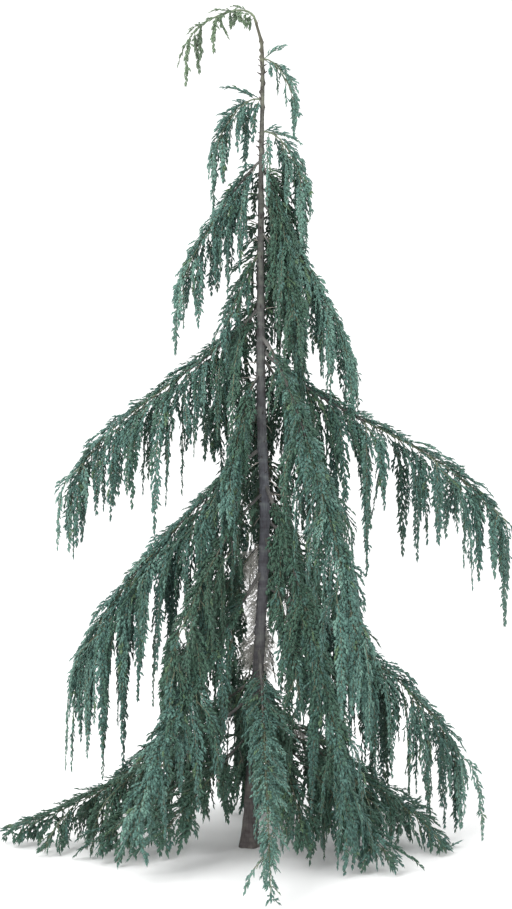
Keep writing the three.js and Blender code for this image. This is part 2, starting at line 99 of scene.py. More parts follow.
# %% Boughs
LIMB, NO_LIMB, SHORT_BARE = 0.18, 0, 0.07
BOUGHS = [
    ("leader", 3128, 180, 290, (84, -24, -60), (60, 110, 250), 0, NO_LIMB, 894),
    ("right_top", 2980, 0, 185, (14, -58, -83), (80, 120, 220), 0, NO_LIMB, 70),
    ("left_top", 2825, 181, 280, (27, -55, -88), (290, 250, 310), 0.12, NO_LIMB, 684),
    ("right_crest", 2705, 350, 295, (11, -62, -83), (430, 330, 250), 0.12, NO_LIMB, 540),
    ("left_crest", 2600, 187, 615, (-44, -57, -83), (460, 340, 270), 0.1, NO_LIMB, 735),
    ("back_crest", 2575, 27, 345, (-32, -64, -89), (340, 290, 170), 0.1, NO_LIMB, 494),
    ("right_upper", 2440, 5, 715, (-44, -61, -82), (400, 420, 290), 0.1, LIMB, 881),
    ("left_middle", 2050, 177, 1045, (-53, -34, -86), (560, 500, 250), 0.1, LIMB, 350),
    ("right_middle", 1890, 1, 1215, (-51, -25, -87), (540, 530, 230), 0.1, LIMB, 938),
    ("front_right_high", 1935, 296, 1400, (-30, -59, -80), (240, 380, 390), 0.08, LIMB, 835),
    ("left_wide", 1510, 185, 1105, (-35, -48, -76), (750, 710, 390), 0.12, LIMB, 822),
    ("front_right_low", 1385, 303, 1315, (-52, -65, -87), (390, 380, 310), 0.1, LIMB, 53),
    ("left_front", 1050, 229, 1125, (-44, -43, -72), (390, 370, 120), 0.08, LIMB, 684),
    ("right_wide", 990, 10, 1085, (-27, -38, -88), (610, 580, 370), 0.12, LIMB, 530),
    ("front_low", 750, 272, 1160, (-20, -36, -62), (240, 190, 140), 0.06, LIMB, 77),
    ("left_foot", 595, 186, 1100, (-48, -28, -18), (240, 280, 150), 0.2, LIMB, 523),
    ("left_low_foot", 430, 205, 700, (-42, -24, -42), (220, 290, 140), 0.2, NO_LIMB, 506),
    ("right_foot", 525, 352, 850, (-39, -30, -54), (390, 400, 120), 0.2, LIMB, 595),
    ("front_right_foot", 460, 316, 760, (-13, -35, -43), (350, 220, 210), 0.15, LIMB, 842),
    ("front_right_skirt", 590, 292, 610, (-42, -42, -81), (300, 250, 170), 0.15, NO_LIMB, 647),
    ("front_right_inner", 1180, 286, 720, (-40, -58, -85), (300, 300, 250), 0.1, NO_LIMB, 440),
    ("left_inner_high", 2250, 204, 335, (-45, -67, -75), (240, 160, 210), 0, NO_LIMB, 840),
    ("back_high", 2330, 66, 620, (-35, -56, -85), (330, 330, 250), 0.1, NO_LIMB, 474),
    ("back_left_high", 2080, 118, 600, (-40, -55, -85), (330, 330, 260), 0.1, NO_LIMB, 491),
    ("back_right_middle", 1860, 55, 850, (-35, -48, -85), (420, 400, 300), 0.12, LIMB, 508),
    ("back_left_middle", 1700, 107, 850, (-38, -50, -85), (460, 430, 300), 0.12, LIMB, 525),
    ("left_inner_middle", 1795, 234, 525, (-35, -69, -81), (400, 330, 380), 0.08, NO_LIMB, 809),
    ("back_middle", 1500, 80, 1000, (-30, -42, -85), (460, 430, 300), 0.12, LIMB, 559),
    ("back_right_low", 1240, 42, 1050, (-30, -45, -85), (460, 420, 300), 0.12, LIMB, 576),
    ("back_left_low", 1150, 136, 880, (-32, -50, -85), (460, 420, 300), 0.12, LIMB, 593),
    ("front_left_low", 1340, 222, 905, (-29, -53, -86), (370, 490, 190), 0.1, LIMB, 116),
    ("back_low", 880, 95, 1050, (-28, -40, -80), (400, 360, 260), 0.15, LIMB, 627),
    ("back_left_foot", 645, 142, 995, (-36, -30, -48), (300, 190, 130), 0.2, LIMB, 417),
    ("back_right_foot", 540, 45, 1065, (-25, -32, -52), (250, 200, 190), 0.2, LIMB, 857),
    ("back_foot", 340, 85, 875, (-15, -27, -35), (210, 190, 130), 0.2, NO_LIMB, 299),
    ("front_left_foot", 460, 239, 635, (-30, -27, -43), (190, 170, 110), 0.12, NO_LIMB, 822),
]
print(len(BOUGHS), "boughs,", sum(1 for row in BOUGHS if row[7]), "with a bare limb")

# %% [markdown]
# ## The rule of growth
#
# The same seeded dice are thrown in the same order as in the CAD source, so that every bough, tail
# and side branch lies where its solid does. A limb is a row of points: each step turns down a
# little more, as its own weight and its weeping habit make it.

# %% Steps and gaps of growth
BOUGH_STEPS, BRANCH_STEPS, TAIL_STEPS, SPRAY_STEPS = 24, 5, 6, 4
TAIL_GAP, BRANCH_GAP, BRANCH_TAIL_GAP = 20, 180, 34
SHORTEST_TAIL, SHORTEST_BRANCH = 30, 70
FIRST_TAIL = 0.4  # share of the bare limb where the tails start
GROUND_GAP = 14  # whatever reaches the ground goes on level at this height
LEVEL_HEIGHT = 24  # a shown twig ends soon after it gets this low
LOW_HANG, HIGH_HANG = -62, -88  # slopes of tails near the ground and well above it
# Ranges for the dice. A turn is away from the wood, and a lift is the slope at a tail's root. The
# lengths of sprays are millimetres, and the other lengths are shares of the usual one.
EDGE_LENGTHS, EDGE_TURNS, EDGE_LIFTS = (0.55, 1.12), (45, 95), (-35, -5)
BRANCH_LENGTHS, BRANCH_TURNS = (0.7, 1.3), (35, 60)
HUNG_LENGTHS, HUNG_TURNS, HUNG_LIFTS = (0.5, 0.95), (20, 70), (-40, -15)
SPRAY_TURNS, SPRAY_LENGTHS, BOUGH_SWINGS = (15, 50), (70, 120), (-12, 12)


# %% Dice and smooth values
def make_dice(seed):
    state = [seed]

    def roll():
        state[0] = (state[0] * 1664525 + 1013904223) % 4294967296
        return state[0] / 4294967296

    for _ in range(3):
        roll()
    return lambda pair: pair[0] + (pair[1] - pair[0]) * roll()


def mix(a, b, t):
    return a + (b - a) * t


def trunk_value(values, height):
    heights, last = TRUNK_HEIGHTS, len(TRUNK_HEIGHTS) - 1
    i = 0
    while i < last - 1 and height > heights[i + 1]:
        i += 1

    def change_at(k):
        before, after = max(k - 1, 0), min(k + 1, last)
        return (values[after] - values[before]) / (heights[after] - heights[before])

    span = heights[i + 1] - heights[i]
    t = (height - heights[i]) / span
    value = mix(values[i], values[i + 1], t * t * (3 - 2 * t))
    value += t * (1 - t) ** 2 * span * change_at(i)
    return value + t * t * (t - 1) * span * change_at(i + 1)


# %% Limbs and twigs as rows of points
def slope_at(slopes, share):
    foot, middle, tip = slopes
    return middle + (foot - middle) * (1 - share) ** 5 + (tip - middle) * share**5


def grow(start, bearing, swing, length, slope_of, count):
    points = [np.array(start, float)]
    for i in range(count):
        share = (i + 0.5) / count
        slope, turn = math.radians(slope_of(share)), math.radians(bearing + swing * share)
        flat = math.cos(slope)
        move = np.array([flat * math.cos(turn), flat * math.sin(turn), math.sin(slope)])
        after = points[-1] + move * (length / count)
        after[2] = max(after[2], GROUND_GAP)
        points.append(after)
    return np.array(points)


def along(points, share):
    last = len(points) - 1
    i = min(int(share * last), last - 1)
    return mix(points[i], points[i + 1], share * last - i)


# %% Tails and sprays
def grow_tail(start, bearing, wanted, lift):
    hang = mix(LOW_HANG, HIGH_HANG, min(max((start[2] - 40) / 300, 0), 1))

    def slope_of(share):
        return mix(hang, max(lift, hang), (1 - share) ** 4)

    shares = [(i + 0.5) / TAIL_STEPS for i in range(TAIL_STEPS)]
    drop = -sum(math.sin(math.radians(slope_of(share))) for share in shares) / TAIL_STEPS
    length = min(wanted, (start[2] - GROUND_GAP) / drop)
    if length < SHORTEST_TAIL:
        return None
    points = grow(start, bearing, 0, length, slope_of, TAIL_STEPS)
    return {"points": points, "bearing": bearing, "length": length}


def tail_length(tails, share):
    foot, middle, tip = tails
    return mix(foot, middle, share * 2) if share < 0.5 else mix(middle, tip, share * 2 - 1)


def grow_spray(start, bearing, slope, length):
    slopes = (slope + 28, slope + 5, slope - 25)
    points = grow(start, bearing, 0, length, lambda share: slope_at(slopes, share), SPRAY_STEPS)
    return {"points": points, "bearing": bearing, "length": length}


# %% One bough and all that it carries
def bearing_at(bough, share):
    return bough["bearing"] + bough["swing"] * share


def grow_edges(bough, dice):
    first = (bough["limb"] or SHORT_BARE) * FIRST_TAIL
    count = int(bough["length"] * (1 - first) / TAIL_GAP)
    for i in range(count + 1):
        side, share = (-1 if i % 2 else 1), mix(first, 1, i / count)
        start = along(bough["points"], share)
        bearing = bearing_at(bough, share)
        slope = slope_at(bough["slopes"], share)
        length = tail_length(bough["tail_lengths"], share) * dice(EDGE_LENGTHS)
        tail_bearing = bearing + side * dice(EDGE_TURNS)
        lift = min(dice(EDGE_LIFTS), slope * 0.8)
        tail = grow_tail(start, tail_bearing, length, lift)
        if tail:
            bough["tails"].append({**tail, "share": share, "order": count - i, "edge": True})
        spray_bearing = bearing - side * dice(SPRAY_TURNS)
        spray = grow_spray(start, spray_bearing, slope, dice(SPRAY_LENGTHS))
        bough["sprays"].append({**spray, "share": share, "order": count - i})


def grow_branches(bough, dice):
    if not bough["spread"]:
        return
    count = max(2, int(bough["length"] / BRANCH_GAP))
    foot, middle = bough["limb"] or SHORT_BARE, bough["slopes"][1]
    slopes = (middle + 10, middle - 5, -85)
    for i in range(count):
        side, share = (-1 if i % 2 else 1), mix(foot, 0.92, (i + 0.5) / count)
        length = max(SHORTEST_BRANCH, bough["length"] * bough["spread"] * dice(BRANCH_LENGTHS))
        bearing = bearing_at(bough, share) + side * dice(BRANCH_TURNS)
        start = along(bough["points"], share)
        points = grow(start, bearing, 0, length, lambda s: slope_at(slopes, s), BRANCH_STEPS)
        bough["branches"].append({"points": points, "bearing": bearing, "share": share})
        number = int(length / BRANCH_TAIL_GAP)
        for k in range(number):
            side_k, place = (-1 if k % 2 else 1), mix(0.25, 1, (k + 0.5) / number)
            wanted = tail_length(bough["tail_lengths"], share) * dice(HUNG_LENGTHS)
            tail_bearing = bearing + side_k * dice(HUNG_TURNS)
            tail = grow_tail(along(points, place), tail_bearing, wanted, dice(HUNG_LIFTS))
            if tail:
                place_of = {"share": share, "order": number - 1 - k, "edge": False}
                bough["tails"].append({**tail, **place_of})


ROW_NAMES = "name height bearing length slopes tail_lengths spread limb seed".split()


def grow_bough(row):
    bough = dict(zip(ROW_NAMES, row), tails=[], sprays=[], branches=[])
    dice = make_dice(bough["seed"])
    bough["swing"] = dice(BOUGH_SWINGS)
    foot = (trunk_value(TRUNK_LEANS, bough["height"]), 0, bough["height"])
    slopes = bough["slopes"]
    bough["points"] = grow(
        foot, bough["bearing"], bough["swing"], bough["length"],
        lambda share: slope_at(slopes, share), BOUGH_STEPS,
    )
    grow_edges(bough, dice)
    grow_branches(bough, dice)
    return bough


# Two small boughs inside the crown, too far in to show in its outline, have no solid of their own.
INNER_BOUGHS = [
    ("right_inner_crest", 2590, 325, 400, (-55, -72, -86), (300, 350, 260), 0.08, NO_LIMB, 21),
    ("right_inner_high", 2330, 322, 440, (-45, -66, -86), (380, 380, 300), 0.08, NO_LIMB, 22),
]
boughs = [grow_bough(row) for row in BOUGHS + INNER_BOUGHS]
SOLID_NAMES = {row[0] for row in BOUGHS}


def say_twigs(when):
    tails, sprays = (sum(len(bough[kind]) for bough in boughs) for kind in ("tails", "sprays"))
    print(when, tails, "tails and", sprays, "sprays")


say_twigs("grown:")

# %% [markdown]
# ## Bark finishes
#
# Young cypress bark is smooth and grey-brown with pores in rings, turns purple-grey where the trunk
# is older, and cracks into strips at its foot. A picture of bark could be wrapped round the wood,
# but it would blur close up and show a seam. So the bark is a pattern of noise. At other scales the
# same pattern serves trunk, limbs and dead shoots, so it is one node group that puts out a tone and
# a height. It reads Object coordinates, stretched along the trunk.

# %% Nodes and their inputs
def set_inputs(tree, node, inputs):
    for key, value in inputs.items():
        if isinstance(value, bpy.types.NodeSocket):
            tree.links.new(value, node.inputs[key])
        else:
            node.inputs[key].default_value = value
    return node


def add_node(tree, kind, inputs, operation=None):
    node = tree.nodes.new("ShaderNode" + kind)
    if operation:
        node.operation = operation
    return set_inputs(tree, node, inputs)


# %% Bark pattern
def bark_pattern():
    tree = bpy.data.node_groups.new("bark pattern", "ShaderNodeTree")
    tree.interface.new_socket("Vector", in_out="INPUT", socket_type="NodeSocketVector")
    for name, value in (("Fine", 260.0), ("Stretch", 0.3), ("Rings", 40.0)):
        socket = tree.interface.new_socket(name, in_out="INPUT", socket_type="NodeSocketFloat")
        socket.default_value = value
    for name in ("Tone", "Height"):
        tree.interface.new_socket(name, in_out="OUTPUT", socket_type="NodeSocketFloat")
    entry = tree.nodes.new("NodeGroupInput").outputs
    place = entry["Vector"]

    def pattern(vector, scale, detail):
        inputs = {"Vector": vector, "Scale": scale, "Detail": detail}
        return add_node(tree, "TexNoise", inputs).outputs["Fac"]

    factors = add_node(tree, "CombineXYZ", {0: 1.0, 1: 1.0, 2: entry["Stretch"]}).outputs[0]
    drawn_out = add_node(tree, "VectorMath", {0: place, 1: factors}, "MULTIPLY").outputs[0]
    flat = add_node(tree, "VectorMath", {0: place, 1: (0.25, 0.25, 2.0)}, "MULTIPLY").outputs[0]
    strips = pattern(drawn_out, entry["Fine"], 5.0)
    rings = pattern(flat, entry["Rings"], 3.0)
    patches = pattern(place, 22.0, 4.0)
    tone = add_node(tree, "Math", {0: strips, 1: 0.25}, "MULTIPLY").outputs[0]
    tone = add_node(tree, "Math", {0: rings, 1: 0.25, 2: tone}, "MULTIPLY_ADD").outputs[0]
    tone = add_node(tree, "Math", {0: patches, 1: 0.5, 2: tone}, "MULTIPLY_ADD").outputs[0]
    set_inputs(tree, tree.nodes.new("NodeGroupOutput"), {"Tone": tone, "Height": strips})
    return tree


BARK_PATTERN = bark_pattern()
print("group:", BARK_PATTERN.name, [i.name for i in BARK_PATTERN.interface.items_tree])


# %% [markdown]
# Colours are written as they look on a screen and turned to the linear values that shaders use.

# %% Colours
def linear(red, green, blue):
    def channel(value):
        c = value / 255
        return c / 12.92 if c <= 0.04045 else ((c + 0.055) / 1.055) ** 2.4

    return (channel(red), channel(green), channel(blue), 1.0)


# %% [markdown]
# Each bark finish keeps its own Principled shader. The tone picks a colour on a ramp, and the
# height feeds a bump. The trunk also changes colour on the way up, so a second ramp reads its
# height; the bright band near its middle is painted light against the shade of the boughs there.

# %% Bark materials
def new_material(name, inputs):
    material = bpy.data.materials.new(name)
    material.use_nodes = True
    set_inputs(material.node_tree, material.node_tree.nodes["Principled BSDF"], inputs)
    return material


def add_ramp(tree, share, stops):
    ramp = add_node(tree, "ValToRGB", {"Fac": share})
    elements = ramp.color_ramp.elements
    while len(elements) < len(stops):
        elements.new(0.5)
    for element, (place, colour) in zip(elements, stops):
        element.position, element.color = place, linear(*colour)
    return ramp.outputs["Color"]


def bark_material(name, stops, fine, stretch, rings, bump, roughness):
    material = new_material(name, {"Roughness": roughness, "Specular IOR Level": 0.3})
    tree = material.node_tree
    place, pattern = tree.nodes.new("ShaderNodeTexCoord"), tree.nodes.new("ShaderNodeGroup")
    pattern.node_tree = BARK_PATTERN
    scales = {"Fine": fine, "Stretch": stretch, "Rings": rings}
    set_inputs(tree, pattern, {"Vector": place.outputs["Object"], **scales})
    colour = add_ramp(tree, pattern.outputs["Tone"], stops)
    height = {"Strength": bump, "Distance": 0.002, "Height": pattern.outputs["Height"]}
    relief = add_node(tree, "Bump", height).outputs["Normal"]
    set_inputs(tree, tree.nodes["Principled BSDF"], {"Base Color": colour, "Normal": relief})
    return material


LIMB_BARK = bark_material(
    "limb bark", [(0.32, (72, 71, 71)), (0.5, (99, 98, 96)), (0.7, (130, 129, 124))],
    300, 0.5, 60, 0.5, 0.85,
)
DEAD_WOOD = bark_material(
    "dead wood", [(0.3, (120, 114, 108)), (0.55, (160, 154, 147)), (0.75, (190, 185, 178))],
    420, 0.5, 60, 0.4, 0.9,
)
TRUNK_BARK = bark_material(
    "trunk bark", [(0.32, (70, 64, 67)), (0.5, (100, 102, 104)), (0.7, (140, 146, 138))],
    170, 0.16, 34, 0.9, 0.9,
)
STUB_BARK = bark_material(
    "stub bark", [(0.3, (50, 46, 45)), (0.5, (72, 66, 64)), (0.72, (98, 92, 88))],
    300, 0.5, 60, 0.5, 0.9,
)
GREEN_BARK = bark_material(
    "green shoot bark", [(0.32, (86, 96, 76)), (0.5, (108, 120, 98)), (0.7, (134, 146, 122))],
    300, 0.5, 60, 0.4, 0.8,
)


# %% Trunk colour by height
def tint_by_height(material, stops, top):
    tree = material.node_tree
    place = tree.nodes["Texture Coordinate"].outputs["Object"]
    height = add_node(tree, "SeparateXYZ", {0: place}).outputs["Z"]
    share = add_node(tree, "Math", {0: height, 1: top}, "DIVIDE").outputs[0]
    blend = tree.nodes.new("ShaderNodeMix")
    blend.data_type, blend.blend_type = "RGBA", "MULTIPLY"
    tones = tree.nodes["Color Ramp"].outputs["Color"]
    set_inputs(tree, blend, {"Factor": 1.0, 6: tones, 7: add_ramp(tree, share, stops)})
    set_inputs(tree, tree.nodes["Principled BSDF"], {"Base Color": blend.outputs[2]})


# Brown-purple at the foot and yellower at the young top are the bark's own colours; the stop at
# 0.42 is the bark's bluish grey made brighter as painted light, where the boughs shade the trunk.
TRUNK_TINTS_AND_PAINTED_LIGHT = [
    (0.0, (236, 220, 214)), (0.22, (232, 224, 226)), (0.42, (238, 240, 250)),
    (0.58, (228, 226, 222)), (0.9, (222, 218, 202)), (1.0, (228, 226, 190)),
]
tint_by_height(TRUNK_BARK, TRUNK_TINTS_AND_PAINTED_LIGHT, TRUNK_TOP * MM)
print("bark finishes:", TRUNK_BARK.name, LIMB_BARK.name, DEAD_WOOD.name)

# %% [markdown]
# ## Foliage finishes
#
# Cypress leaves are tiny scales pressed to their twig, matt, with a grey-blue bloom. New growth is
# paler and yellower. The greens run from dark to pale: the dark ones are painted shade for the
# inside of the crown, the pale ones painted light for its lit outside. The colours are plain. Each
# tail gets one of them, and its strings take that one or a near one. The sheen is the bloom.

# %% Tints
# Six greens from painted shade (deep green) to painted light (silver green), then new growth and
# the leader's green, which are their own colours.
TINTS = [
    ("deep green", (64, 92, 75)),
    ("dark green", (66, 97, 80)),
    ("grey green", (68, 100, 85)),
    ("blue green", (72, 106, 97)),
    ("pale blue green", (84, 120, 110)),
    ("silver green", (102, 137, 124)),
    ("new growth", (88, 114, 84)),
    ("leader green", (112, 132, 106)),
]
NEW_GROWTH, LEADER_GREEN = 6, 7


def leaf_material(name, colour):
    bloom = {"Sheen Weight": 0.12, "Sheen Tint": linear(205, 226, 224)}
    matt = {"Roughness": 0.62, "Specular IOR Level": 0.3}
    return new_material(name, {"Base Color": linear(*colour), **matt, **bloom})


LEAF_MATERIALS = [leaf_material(name, colour) for name, colour in TINTS]
TWIG_BARK = leaf_material("twig bark", (112, 112, 92))
print(len(LEAF_MATERIALS), "leaf tints")

# %% [markdown]
# ## Pieces
#
# Every finished piece rides on the plant's one body and stands for the CAD nodes that it replaces,
# which are hidden. Its finishes are its materials.

# %% Finishing a piece
def finish_piece(mesh, name, materials, replaced):
    for material in materials:
        mesh.materials.append(material)
    piece = bpy.data.objects.new(name, mesh)
    bpy.context.scene.collection.objects.link(piece)
    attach(piece, "root")
    if replaced:
        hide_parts(*replaced)
    return piece


# %% [markdown]
# ## Rods
#
# A limb is a tapering tube. A curve with a bevel would give one too, but without knots. So it
# starts as a cone primitive whose upright edges are cut into rings; then each vertex is carried to
# its place round the limb's route. That keeps the tube closed and its faces even, and the relief
# is added in the same move.

# %% A tube with rings
def tube(work, sides, rings):
    before = len(work.verts)
    made = bmesh.ops.create_cone(
        work, cap_ends=True, segments=sides, radius1=1, radius2=1, depth=1
    )
    upright = {
        edge for vert in made["verts"] for edge in vert.link_edges
        if abs(edge.verts[0].co.z - edge.verts[1].co.z) > 0.5
    }
    bmesh.ops.subdivide_edges(work, edges=list(upright), cuts=rings - 2, use_grid_fill=True)
    work.verts.ensure_lookup_table()
    return work.verts[before:]


# %% A rod along a route
COARSE_KNOTS, FINE_KNOTS = 130, 400  # in a metre


def unit(vectors):
    return vectors / np.maximum(np.linalg.norm(vectors, axis=-1, keepdims=True), 1e-9)


def lay_rod(work, points, radius_of, bearing, sides, rings, roughness=0.0):
    turn = math.radians(bearing)
    level = np.array([-math.sin(turn), math.cos(turn), 0.0])
    shares = np.linspace(0, 1, rings)
    centres = np.array([along(points, share) for share in shares])
    ahead = unit(np.gradient(centres, axis=0))
    side = unit(level - (ahead @ level)[:, None] * ahead)
    up = np.cross(ahead, side)
    for vert in tube(work, sides, rings):
        ring = round((vert.co.z + 0.5) * (rings - 1))
        angle = math.atan2(vert.co.y, vert.co.x)
        radius = radius_of(shares[ring])
        outward = side[ring] * math.cos(angle) + up[ring] * math.sin(angle)
        place = Vector((centres[ring] + outward * radius) * MM)
        if roughness:
            coarse, fine = (noise.noise(place * scale) for scale in (COARSE_KNOTS, FINE_KNOTS))
            radius *= 1 + roughness * coarse + roughness * fine
        vert.co = Vector((centres[ring] + outward * radius) * MM)


def mesh_of(work, name):
    bmesh.ops.recalc_face_normals(work, faces=work.faces)
    mesh = bpy.data.meshes.new(name)
    work.to_mesh(mesh)
    work.free()
    mesh.polygons.foreach_set("use_smooth", [True] * len(mesh.polygons))
    return mesh


# %% [markdown]
# ## Trunk
#
# The trunk is one tall tube, so fine that its relief is real: cracked strips at the foot, shallow
# rings above, small knobs, and a collar round the root of each bough. A bump alone would leave its
# edge smooth against the sky. The roughness dies away upwards, as the bark gets younger.

# %% Trunk relief
TRUNK_SIDES, TRUNK_RINGS = 48, 640
FULL_RELIEF_RADIUS = 14  # thinner wood has lower relief


def flare_at(height, angle):
    lobe = 1 + FLARE_LOBE_DEPTH * math.cos(FLARE_LOBES * angle)
    return FLARE_WIDTH / 2 * math.exp(-height / FLARE_HEIGHT) * lobe


LEAST_FOOT_WIDTH, WIDTH_BY_LENGTH, TIP_WIDTH = 5, 0.0095, 4


def bough_width(length, share):
    return mix(LEAST_FOOT_WIDTH + WIDTH_BY_LENGTH * length, TIP_WIDTH, share**0.8)


COLLARS = [
    (bough["height"], math.radians(bough["bearing"]), bough_width(bough["length"], 0))
    for bough in boughs[1:]
]


# In widths of the bough, apart from the spread, which is an angle, and the reach, in heights.
COLLAR_DROP, COLLAR_HEIGHT, COLLAR_SWELL, COLLAR_SPREAD, COLLAR_REACH = 0.3, 1.3, 0.22, 0.9, 2.5


def collar_at(height, angle):
    swell = 0
    for foot, bearing, width in COLLARS:
        rise = (height - foot + width * COLLAR_DROP) / (width * COLLAR_HEIGHT)
        if abs(rise) < COLLAR_REACH:
            away = math.remainder(angle - bearing, 2 * math.pi) / COLLAR_SPREAD
            swell += width * COLLAR_SWELL * math.exp(-rise * rise - away * away)
    return swell


KNOB_COUNT, KNOB_DICE, KNOB_REACH, KNOB_SPREAD = 180, make_dice(7), 20, 34
KNOB_RANGES = (250, 3060), (-math.pi, math.pi), (2, 7)  # height, angle, size
KNOBS = [tuple(KNOB_DICE(pair) for pair in KNOB_RANGES) for _ in range(KNOB_COUNT)]


def knob_at(height, angle, radius):
    swell = 0
    for foot, bearing, size in KNOBS:
        if abs(height - foot) < KNOB_REACH:
            away = math.remainder(angle - bearing, 2 * math.pi) * radius
            swell += size * math.exp(-((height - foot) ** 2 + away**2) / KNOB_SPREAD)
    return swell


# Strips, plates, rings and lumps: cells round the trunk, how tall they are, and how strong the
# pattern is on young bark and how much more on old.
RELIEF = [(3.4, 70, 0.5, 2.6), (6, 26, 0.3, 1.3), (0.6, 9, 0.45, 0), (1.3, 42, 1.8, 0)]


def bark_relief(height, angle):
    age, relief = math.exp(-height / 500), 0
    for cells, tall, young, old in RELIEF:
        place = Vector((math.cos(angle) * cells, math.sin(angle) * cells, height / tall))
        relief += (old * age + young) * noise.noise(place)
    return relief


# %% Trunk mesh
def trunk_mesh():
    work = bmesh.new()
    for vert in tube(work, TRUNK_SIDES, TRUNK_RINGS):
        height = (vert.co.z + 0.5) * TRUNK_TOP
        angle = math.atan2(vert.co.y, vert.co.x)
        radius = trunk_value(TRUNK_WIDTHS, height) / 2 + flare_at(height, angle)
        thin = min(1, radius / FULL_RELIEF_RADIUS)
        radius += bark_relief(height, angle) * thin + collar_at(height, angle) * thin
        radius += knob_at(height, angle, radius)
        x = trunk_value(TRUNK_LEANS, height) + radius * math.cos(angle)
        vert.co = Vector((x, radius * math.sin(angle), height)) * MM
    return mesh_of(work, "trunk_bark_relief")


trunk = finish_piece(trunk_mesh(), "trunk_bark_relief", [TRUNK_BARK], ["trunk"])
print("trunk:", len(trunk.data.polygons), "faces")

# %% [markdown]
# ## Limbs
#
# On the real plant the bare limb and the stem inside the foliage are one piece of wood. They could
# be two rods, but where leaves are thin the joint would show, so each limb is one rod here. It
# starts inside the trunk, and runs out to a thin tip with low knots along it. Its side branches are
# rods in the same mesh.

# %% Limb meshes
LIMB_SIDES, LIMB_RING_GAP, LEAST_RINGS, LIMB_KNOTS, LEADER_SWELL = 12, 14, 16, 0.22, 1.15
BRANCH_SIDES, BRANCH_RINGS, BRANCH_KNOTS, BRANCH_TIP = 6, 9, 0.15, 1.3


def slimming(share):
    return mix(0.9, 0.6, min(max((share - LIMB / 2) / 0.3, 0), 1))


def limb_mesh(bough):
    work = bmesh.new()
    rings = max(LEAST_RINGS, int(bough["length"] / LIMB_RING_GAP))
    slim = (lambda share: LEADER_SWELL) if bough["name"] == "leader" else slimming
    radius_of = lambda share: bough_width(bough["length"], share) / 2 * slim(share)
    lay_rod(work, bough["points"], radius_of, bough["bearing"], LIMB_SIDES, rings, LIMB_KNOTS)
    for branch in bough["branches"]:
        foot = bough_width(bough["length"], branch["share"]) / 4
        thin = lambda share, foot=foot: mix(foot, BRANCH_TIP, share)
        form = BRANCH_SIDES, BRANCH_RINGS, BRANCH_KNOTS
        lay_rod(work, branch["points"], thin, branch["bearing"], *form)
    return mesh_of(work, f"{bough['name']}_wood")


# Old wood is grey, and the outer part of a limb is young and green, as small boughs are all along.
YOUNG_SHARE, YOUNG_LENGTH = 0.4, 400


def deal_wood(mesh, bough):
    centres = np.array([face.center for face in mesh.polygons]) / MM
    gaps = np.linalg.norm(centres[:, None] - bough["points"][None], axis=2)
    shares = np.argmin(gaps, axis=1) / (len(bough["points"]) - 1)
    young = (shares > YOUNG_SHARE) | (bough["length"] < YOUNG_LENGTH)
    mesh.polygons.foreach_set("material_index", young.astype(np.int32))


limb_faces = 0
for bough in boughs:
    replaced = [f"{bough['name']}_bough"] if bough["limb"] else []
    wood = limb_mesh(bough)
    deal_wood(wood, bough)
    finish_piece(wood, wood.name, [LIMB_BARK, GREEN_BARK], replaced)
    limb_faces += len(wood.polygons)
print("limbs:", limb_faces, "faces")

# %% [markdown]
# ## Small things from arrays
#
# A leafy twig of cypress is a flat string of scales. A flat card with a picture of leaves is the
# usual way, but it vanishes when it is seen edge-on. The smallest solid worth a mesh is a slim
# kite: four corners, four faces, closed, widest at its middle and pointed at its tip. The edge from
# its root to its tip lies a little below the one across its middle, which gives it its thickness.

# %% Meshes from arrays
def array_mesh(name, corners, faces, finishes):
    mesh = bpy.data.meshes.new(name)
    mesh.vertices.add(len(corners))
    mesh.vertices.foreach_set("co", (corners * MM).astype(np.float32).ravel())
    mesh.loops.add(faces.size)
    mesh.loops.foreach_set("vertex_index", faces.astype(np.int32).ravel())
    mesh.polygons.add(len(faces))
    mesh.polygons.foreach_set("loop_start", np.arange(0, faces.size, 3, dtype=np.int32))
    mesh.polygons.foreach_set("material_index", finishes.astype(np.int32))
    mesh.update(calc_edges=True)
    mesh.validate()
    return mesh


# %% Kites
KITE_FACES = np.array([[0, 1, 2], [0, 3, 1], [0, 2, 3], [1, 3, 2]])


def kites(roots, ways, sides, lengths, halves):
    up = np.cross(ways, sides) * (halves * 0.4)[:, None]
    middle = roots + ways * (lengths * 0.5)[:, None]
    out = sides * halves[:, None]
    tips = roots + ways * lengths[:, None]
    corners = np.stack([roots - up, middle + out + up, tips - up, middle - out + up], axis=1)
    first = np.arange(len(roots))[:, None, None] * 4
    return corners.reshape(-1, 3), (first + KITE_FACES).reshape(-1, 3)


# %% [markdown]
# ## Where the crown is open
#
# The crown isn't closed: its inner part has long narrow openings where sky shows, and the trunk can
# be seen between the front fronds. Both are given as the eye of a person in front of the plant sees
# them, on the upright plane through the trunk: the middle and half size of each opening. Shade has
# killed the foliage there on the real plant. Holes cut at the end would leave twigs with clean
# ends, so most twigs that would hang in an opening are left out whole.

# %% Openings
EYE = np.array([25.0, -6200.0, 1483.0])
OPENINGS = np.array([  # across, height, half width, half height
    (5, 980, 26, 210), (-14, 722, 28, 62), (-72, 400, 24, 115), (-132, 238, 24, 48),
    (80, 715, 26, 104), (141, 945, 19, 84), (190, 360, 24, 150), (-238, 809, 26, 58),
    (-83, 1078, 17, 80),
])


def as_seen(points):
    reach = -EYE[1] / (points[..., 1] - EYE[1])
    across = EYE[0] + (points[..., 0] - EYE[0]) * reach
    return across, EYE[2] + (points[..., 2] - EYE[2]) * reach


def is_open(points):
    across, height = as_seen(points)
    off = ((across[..., None] - OPENINGS[:, 0]) / OPENINGS[:, 2]) ** 2
    off = off + ((height[..., None] - OPENINGS[:, 1]) / OPENINGS[:, 3]) ** 2
    return np.any(off < 1, axis=-1)


def between(values, low, high):
    return (values > low) & (values < high)


